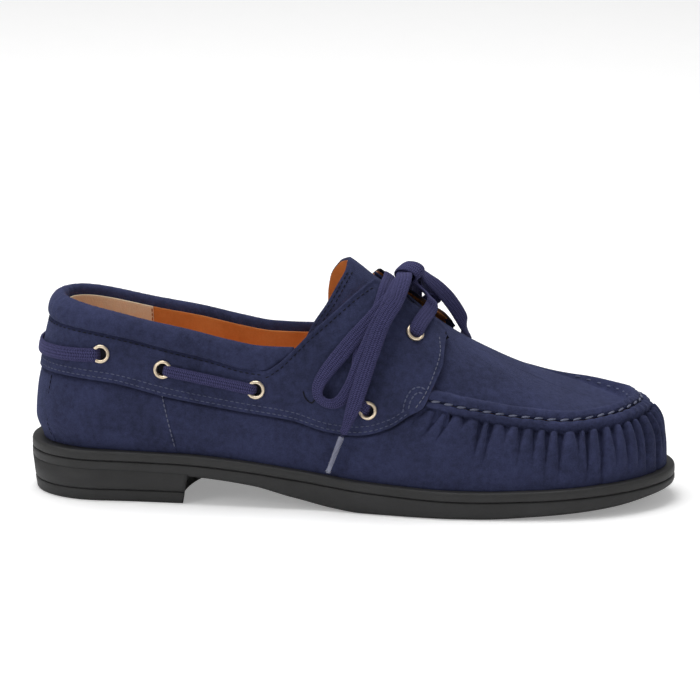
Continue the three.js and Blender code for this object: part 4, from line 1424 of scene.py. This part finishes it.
def makeCollarLining(name, fromShare, toShare, finish, grow):
    # from just under the collar's top edge straight down to the footbed
    def placeAt(u, v):
        share = fromShare + (toShare - fromShare) * u
        side = -1 if share < 0 else 1
        station = abs(share)
        high = liningTop(station, side)
        low = line["top"](station) + 2.0
        z = low + (high - low) * v
        inward = 2.5 + (2.3 - 2.0 * smooth(88, 125, station)) * smooth(low + 20, high - 6, z)
        return skin(station, side, riseAt(station, side, z, -inward - grow), -inward - grow)

    mesh = gridMesh(max(40, int(abs(toShare - fromShare) / 1.6)), 36, placeAt)
    turnFaces(mesh, inwards=True)
    piece = keepPiece(mesh, name, finish, "lining")
    thicken(piece, 0.6, rounding=0.15)


def makeForeLining():
    start, end = distanceOf(122, -1), distanceOf(122, 1)

    def placeAt(u, v):
        station, side = around(start + (end - start) * u)
        under = 62 + 1.9 * (station - half + 20)
        grow = -2.4 - 3.0 * smooth(176, 190, station)
        high = riseAt(station, side, min(under, heightOn(station, side, creaseOf[side], grow) - 1.0), grow)
        if station > 150:
            high = 1.0 if station > 163 else high
            high = min(high, throatRise(station, side, grow, throatHalf) if station < 181 else 1.0)
        point = skin(station, side, high * v, grow)
        return settle(point, smooth(0.45, 0.6, high * v), 3.0)

    mesh = gridMesh(180, 44, placeAt)
    weld(mesh)
    turnFaces(mesh, inwards=True)
    thicken(keepPiece(mesh, "foreLining", "lining", "lining"), 0.6)


tongue = {"out": -2.5, "wall": 2.0, "frontStation": 200.0}
tongueShift = {  # how far the rear edge stands off its line, by height
    -1: curveThrough(((60, -1.3), (84, -1.3), (96, 0), (112, 0))),
    1: curveThrough(((60, 3), (78, 3), (84, 1.8), (88, 0.3), (91, -1.2), (96, -3.2), (102, -4.8), (108, -4.0),
                     (112, 0))),
}


def tongueEdge(side, height):
    return line["tongueRear"](height) + tongueShift[side](height)


def tongueStation(side, rise):
    # the rear edge: a straight slant on the outer side, further back on the inner side
    station = 140.0
    for _ in range(10):
        point = skin(station, side, rise, tongue["out"])
        station += 0.7 * (tongueEdge(side, point.z) - point.x)
    return station


def makeTongue():
    columns, rows = 110, 70

    def placeAt(u, v):
        share = 2 * v - 1
        side = -1 if share < 0 else 1
        low = 0.30
        rise = low + (1 - low) * (1 - abs(share)) ** 0.9
        rear = tongueStation(side, rise)
        station = rear + (tongue["frontStation"] - rear) * u
        wave = 0.25 * math.sin(5 * share + 6 * u) * bump(0, 0.8, u)
        return skin(station, side, rise, tongue["out"] + wave + 1.5 * smooth(158, 172, station))

    mesh = gridMesh(columns, rows, placeAt)
    weld(mesh)
    turnFaces(mesh)
    # the tongue's rim takes the shaded suede, painted shade
    piece = keepPiece(mesh, "tongue", ("suede", "suedeDark", "lining"), "suede", ("tongue",))
    thicken(piece, tongue["wall"], rim=1, back=2, rounding=0.4)


makeSaddle()
makeCollar()
makeCollarLining("sideLiningLateral", -122.0, -47.0, "lining", 0.0)
makeCollarLining("sideLiningMedial", 133.0, 47.0, "lining", 0.0)
makeCollarLining("heelGripLining", -49.0, 49.0, "heelGrip", 0.35)
makeForeLining()
makeTongue()
print("saddle, collar, tongue and linings made")

# Eyelet rings and the laces they hold.


def makeEyelet(name, x, z, side):
    point, out = place(x, z, side, eyelet["seat"])
    outer, bore, rim = eyelet["outer"], eyelet["bore"], eyelet["rim"]
    profile = [(bore, -3.4)]
    for k in range(9):
        turn = math.pi * (1 - k / 8)
        middle, flange = (outer + bore) / 2, (outer - bore) / 2
        profile.append((middle + flange * math.cos(turn), 0.1 + rim * math.sin(turn)))
    profile += [(outer - 0.1, -0.7), (bore + 0.35, -0.7), (bore + 0.35, -3.4)]
    mesh = bmesh.new()
    mesh.loops.layers.uv.new("surface")
    points = [mesh.verts.new(Vector((r, 0, h)) * mm) for r, h in profile]
    edges = [mesh.edges.new(pair) for pair in zip(points, points[1:] + points[:1])]
    bmesh.ops.spin(mesh, geom=points + edges, axis=(0, 0, 1), cent=(0, 0, 0), dvec=(0, 0, 0),
                   angle=2 * math.pi, steps=40, use_merge=True)
    turned = out.to_track_quat("Z", "Y").to_matrix().to_4x4()
    bmesh.ops.transform(mesh, matrix=Matrix.Translation(point * mm) @ turned, verts=mesh.verts[:])
    bmesh.ops.recalc_face_normals(mesh, faces=mesh.faces[:])
    keepPiece(mesh, name.replace("_", "") + "Ring", "brass", "brass", (name,))


def makeEyeletShadeDiscs():  # painted shade: a dark disc behind each eyelet stands in for the shadow inside its hole
    mesh = bmesh.new()
    mesh.loops.layers.uv.new("surface")
    for x, z in eyelets.values():
        for side in (-1, 1):
            point, out = place(x, z, side, eyelet["seat"] - 2.2)
            made = bmesh.ops.create_circle(mesh, cap_ends=True, segments=20, radius=3.2 * mm)["verts"]
            turned = out.to_track_quat("Z", "Y").to_matrix().to_4x4()
            bmesh.ops.transform(mesh, matrix=Matrix.Translation(point * mm) @ turned, verts=made)
    keepPiece(mesh, "eyeletHollows", "darkThread", "suede")


for word, (x, z) in eyelets.items():
    makeEyelet(f"eyelet_{word}_lateral", x, z, -1)
    makeEyelet(f"eyelet_{word}_medial", x, z, 1)
makeEyeletShadeDiscs()

heldLace = {"out": 3.6, "width": 5.4, "heelWidth": 6.4}
laceOut = heldLace["out"]


def dive(x, z, side, depth):  # a lace's end going down its eyelet
    point, out = place(x, z, side, laceOut)
    return point - out * depth, out


def pinchedEnds(t):
    return 1 - 0.3 * (1 - smooth(0, 0.13, t)) - 0.3 * smooth(0.87, 1, t)


def sideLace(name, side, nodes):
    (x0, z0), (x1, z1) = eyelets["side"], eyelets["waist"]
    route = [dive(x0 + 0.2, z0, side, 4.6), dive(x0 + 1.3, z0 - 0.2, side, 0.9)]
    for k in range(1, 12):
        t = 0.07 + 0.86 * k / 12
        x, z = x0 + (x1 - x0) * t, z0 + (z1 - z0) * t
        point, out = place(x, z, side, laceOut - 0.2 + 0.3 * math.sin(math.pi * t))
        route.append((point, out))
    route += [dive(x1 - 1.3, z1 + 0.2, side, 0.9), dive(x1 - 0.2, z1, side, 4.6)]
    ribbon(name, route, "lace", {"stops": 110, "width": heldLace["width"], "thickness": 1.5,
                                 "narrow": pinchedEnds}, nodes)


def heelLace():
    x0, z0 = eyelets["heel"]
    reach = distanceOf(*stationAt(x0, z0, -1, laceOut)[:1], -1)
    route = []
    for k in range(33):
        share = 2 * k / 32 - 1
        distance = reach * abs(share)
        station, _ = around(distance)
        side = -1 if share < 0 else 1
        z = z0 - 0.3 - 0.9 * (1 - share * share)
        depth = 1.1 * smooth(0.93, 0.97, abs(share)) + 4.0 * smooth(0.97, 1.0, abs(share))
        rise = riseAt(station, side, z, laceOut - 0.4)
        out = outward(station, side, rise, laceOut)
        if abs(share) < 0.02:
            out = Vector((-1, 0, 0.15)).normalized()
        route.append((skin(station, side, rise, laceOut - 0.4) - out * depth, out))
    ribbon("heelLace", route, "lace", {"stops": 170, "width": heldLace["heelWidth"], "thickness": 1.5},
           ("lace_heel",))


climb = curveThrough(((0.3, 5.4), (0.38, 6), (0.5, 10), (0.65, 15), (0.8, 16.6), (1, 16.8)))


def over(station, turn, grow):
    side, rise = (-1, turn) if turn <= 1 else (1, 2 - turn)
    return skin(station, side, rise, grow), outward(station, side, min(rise, 0.99), grow)


def crossLace():
    # out of each low eyelet, up its tab, and over the tongue to the other side
    x0, z0 = eyelets["low"]
    first = riseAt(x0 + half, -1, z0 + 5, laceOut)
    route = [dive(x0, z0, -1, 4.6), dive(x0 - 1.5, z0 + 1.0, -1, 0.8)]
    turnStops = [first + (2 - 2 * first) * k / 30 for k in range(31)]
    for turn in turnStops:
        low = min(turn, 2 - turn)
        sink = 2.8 * smooth(0.72, 0.97, low)
        route.append(over(climb(low) + half, turn, laceOut - 0.2 - sink))
    route += [dive(x0 - 1.5, z0 + 1.0, 1, 0.8), dive(x0, z0, 1, 4.6)]
    ribbon("crossLace", route, "lace", {"stops": 240, "width": heldLace["width"], "thickness": 1.4},
           ("lace_cross",))


def tieLace():
    # from each throat eyelet up over the tab's edge, folding back under the knot
    x0, z0 = eyelets["throat"]
    foot = Vector((28.5, -1.5, 100.6))
    route = []
    for side in (-1, 1):
        rising, out = place(x0 + 2.6, z0 + 4.6, side, laceOut + 0.5)
        strandOf = [dive(x0, z0, side, 4.6), dive(x0 + 0.7, z0 + 1.3, side, 0.4), (rising, out),
                    (Vector((37.2, side * 13.5, 90.2)), (out + Vector((0.35, 0, 0))).normalized()),
                    (Vector((38.0, side * 10.0, 93.0)), Vector((0.75, side * 0.1, 0.65))),
                    (Vector((35.4, side * 7.2, 95.4)), Vector((0.7, -side * 0.3, 0.6))),
                    (Vector((31.6, side * 4.2, 98.2)), Vector((0.55, -side * 0.3, 0.75)))]
        route += strandOf if side < 0 else [(foot, Vector((0.2, 0, 1))), *reversed(strandOf)]
    ribbon("tieLace", route, "lace", {"stops": 190, "width": laceFlat["width"], "thickness": 1.4},
           ("lace_tie",))


sideLace("sideLaceLateral", -1, ("lace_lateral",))
sideLace("sideLaceMedial", 1, ("lace_medial",))
heelLace()
crossLace()
tieLace()
print("eyelets and held laces made")

# Rows of stitches.

row = {"length": 1.9, "width": 0.5, "high": 0.42, "lift": 0.05}


def through(side, spots, grow, smoothing=24):
    # a line through spots of the side view, laid on the skin
    route, _ = splineThrough([Vector((x, 0, z)) for x, z in spots], smoothing)
    laid = [place(p.x, p.z, side, grow + frontLift(p.x)) for p in route]

    def pointAt(t):
        k = min(smoothing - 1, int(t * smoothing))
        share = t * smoothing - k
        return laid[k][0].lerp(laid[k + 1][0], share), laid[k][1].lerp(laid[k + 1][1], share)
    return pointAt


def saddleRows(side, word):
    for number, rise in enumerate((1.5, 4.0)):
        spots = measured(sideLine(side, -146, 30 - number, lambda x: line["saddleLow"](x) + rise, 1.95), 2.6)
        stitches(f"saddleStitches{word}{number}", spots, row, "blueThread")
    edge = line[creaseOf[side]]
    crease = measured(sideLine(side, -146, -38, lambda x: edge(x) - 1.7, 1.95), 2.8)
    crease += measured(sideLine(side, -38, 12, lambda x: edge(x) - 3.1, 1.95), 2.8)
    stitches(f"creaseStitches{word}", crease, row, "darkThread")
    front = [(33, 50.6), (37.4, 57), (41.4, 66.5), (43.2, 73.5), (42.2, 79.5)]
    stitches(f"tabStitches{word}", measured(through(side, front, 2.1), 2.5), row, "paleThread")
    pocket = [(27.2, 47.6), (28.2, 53.5), (31, 58.6), (35, 60), (38, 58.6)]
    inner = [(29.8, 49.2), (30.6, 53.2), (32.6, 56.6), (35, 57.6), (37, 56.6)]
    bars = measured(through(side, pocket, 2.0), 2.3) + measured(through(side, inner, 2.0), 2.3)
    stitches(f"tabBartack{word}", bars, {**row, "width": 0.75}, "blueThread")
    hook = [(-19.5, 55.8), (-18.2, 52.4), (-15.2, 50.4), (-12.9, 54.2)]
    bandBars = measured(through(side, hook, 2.0), 1.4)
    stitches(f"bandBartack{word}", bandBars, {**row, "width": 0.8}, "darkThread")


def tongueRow(side, word):
    for number, inset in enumerate((1.7, 3.8)):
        def pointAt(t):
            height = 74 + 34 * t
            return place(tongueEdge(side, height) + inset, height, side, tongue["out"])
        stitches(f"tongueStitches{word}{number}", measured(pointAt, 2.6), row, "darkThread")


def quarterRow(side, word):
    def pointAt(t):
        height = line["top"](quarter["lateralX"] + half) + 3 + 30 * t
        return place(quarter["lateralX"] + 2.2 + quarter["lean"] * (height - 38), height, side, 0.35)
    stitches(f"quarterStitches{word}", measured(pointAt, 2.4), {**row, "width": 0.6}, "paleThread")


def heelStripRow(side, word):
    def pointAt(t):
        height = 27 + 30 * t
        stand, seam = heelStrip["stand"], heelStrip["seam"]
        station, _ = around(seam if side < 0 else girth[-1] - seam)
        rise = riseAt(station, side, height, stand)
        out = outward(station, side, rise, stand)
        return skin(station, side, rise, stand) + out * heelTuck(station, side, height), out
    stitches(f"heelStripStitches{word}", measured(pointAt, 2.5), row, "darkThread")


def gripRow(side, word):  # where the soft heel grip is sewn to the leather lining
    def pointAt(t):
        station = 48.2
        high, low = liningTop(station, side), line["top"](station) + 2.0
        height = high - 0.6 - 22 * (1 - t)
        inward = 2.95 + 2.3 * smooth(low + 20, high - 6, height)
        rise = riseAt(station, side, height, -inward)
        return skin(station, side, rise, -inward), -outward(station, side, rise, -inward)
    stitches(f"gripStitches{word}", measured(pointAt, 2.2), {**row, "width": 0.6}, "gripThread")


for sideOf, word in ((-1, "Lateral"), (1, "Medial")):
    saddleRows(sideOf, word)
    tongueRow(sideOf, word)
    quarterRow(sideOf, word)
    heelStripRow(sideOf, word)
    gripRow(sideOf, word)
print("stitches made")


# Floor.


def addFloor():
    mesh = bmesh.new()
    mesh.loops.layers.uv.new("surface")
    bmesh.ops.create_grid(mesh, x_segments=2, y_segments=2, size=4.0)
    data = bpy.data.meshes.new("floor")
    mesh.to_mesh(data)
    mesh.free()
    data.materials.append(finishes["floor"])
    floor = bpy.data.objects.new("floor", data)
    bpy.context.scene.collection.objects.link(floor)
    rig.stage(floor)


addFloor()
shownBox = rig.bounds()
sizes = {"cad": [list(corner) for corner in cadBox], "visual": [list(corner) for corner in shownBox]}
with open("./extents.json", "w") as kept:
    json.dump(sizes, kept)
print("cad box", sizes["cad"], "visual box", sizes["visual"])
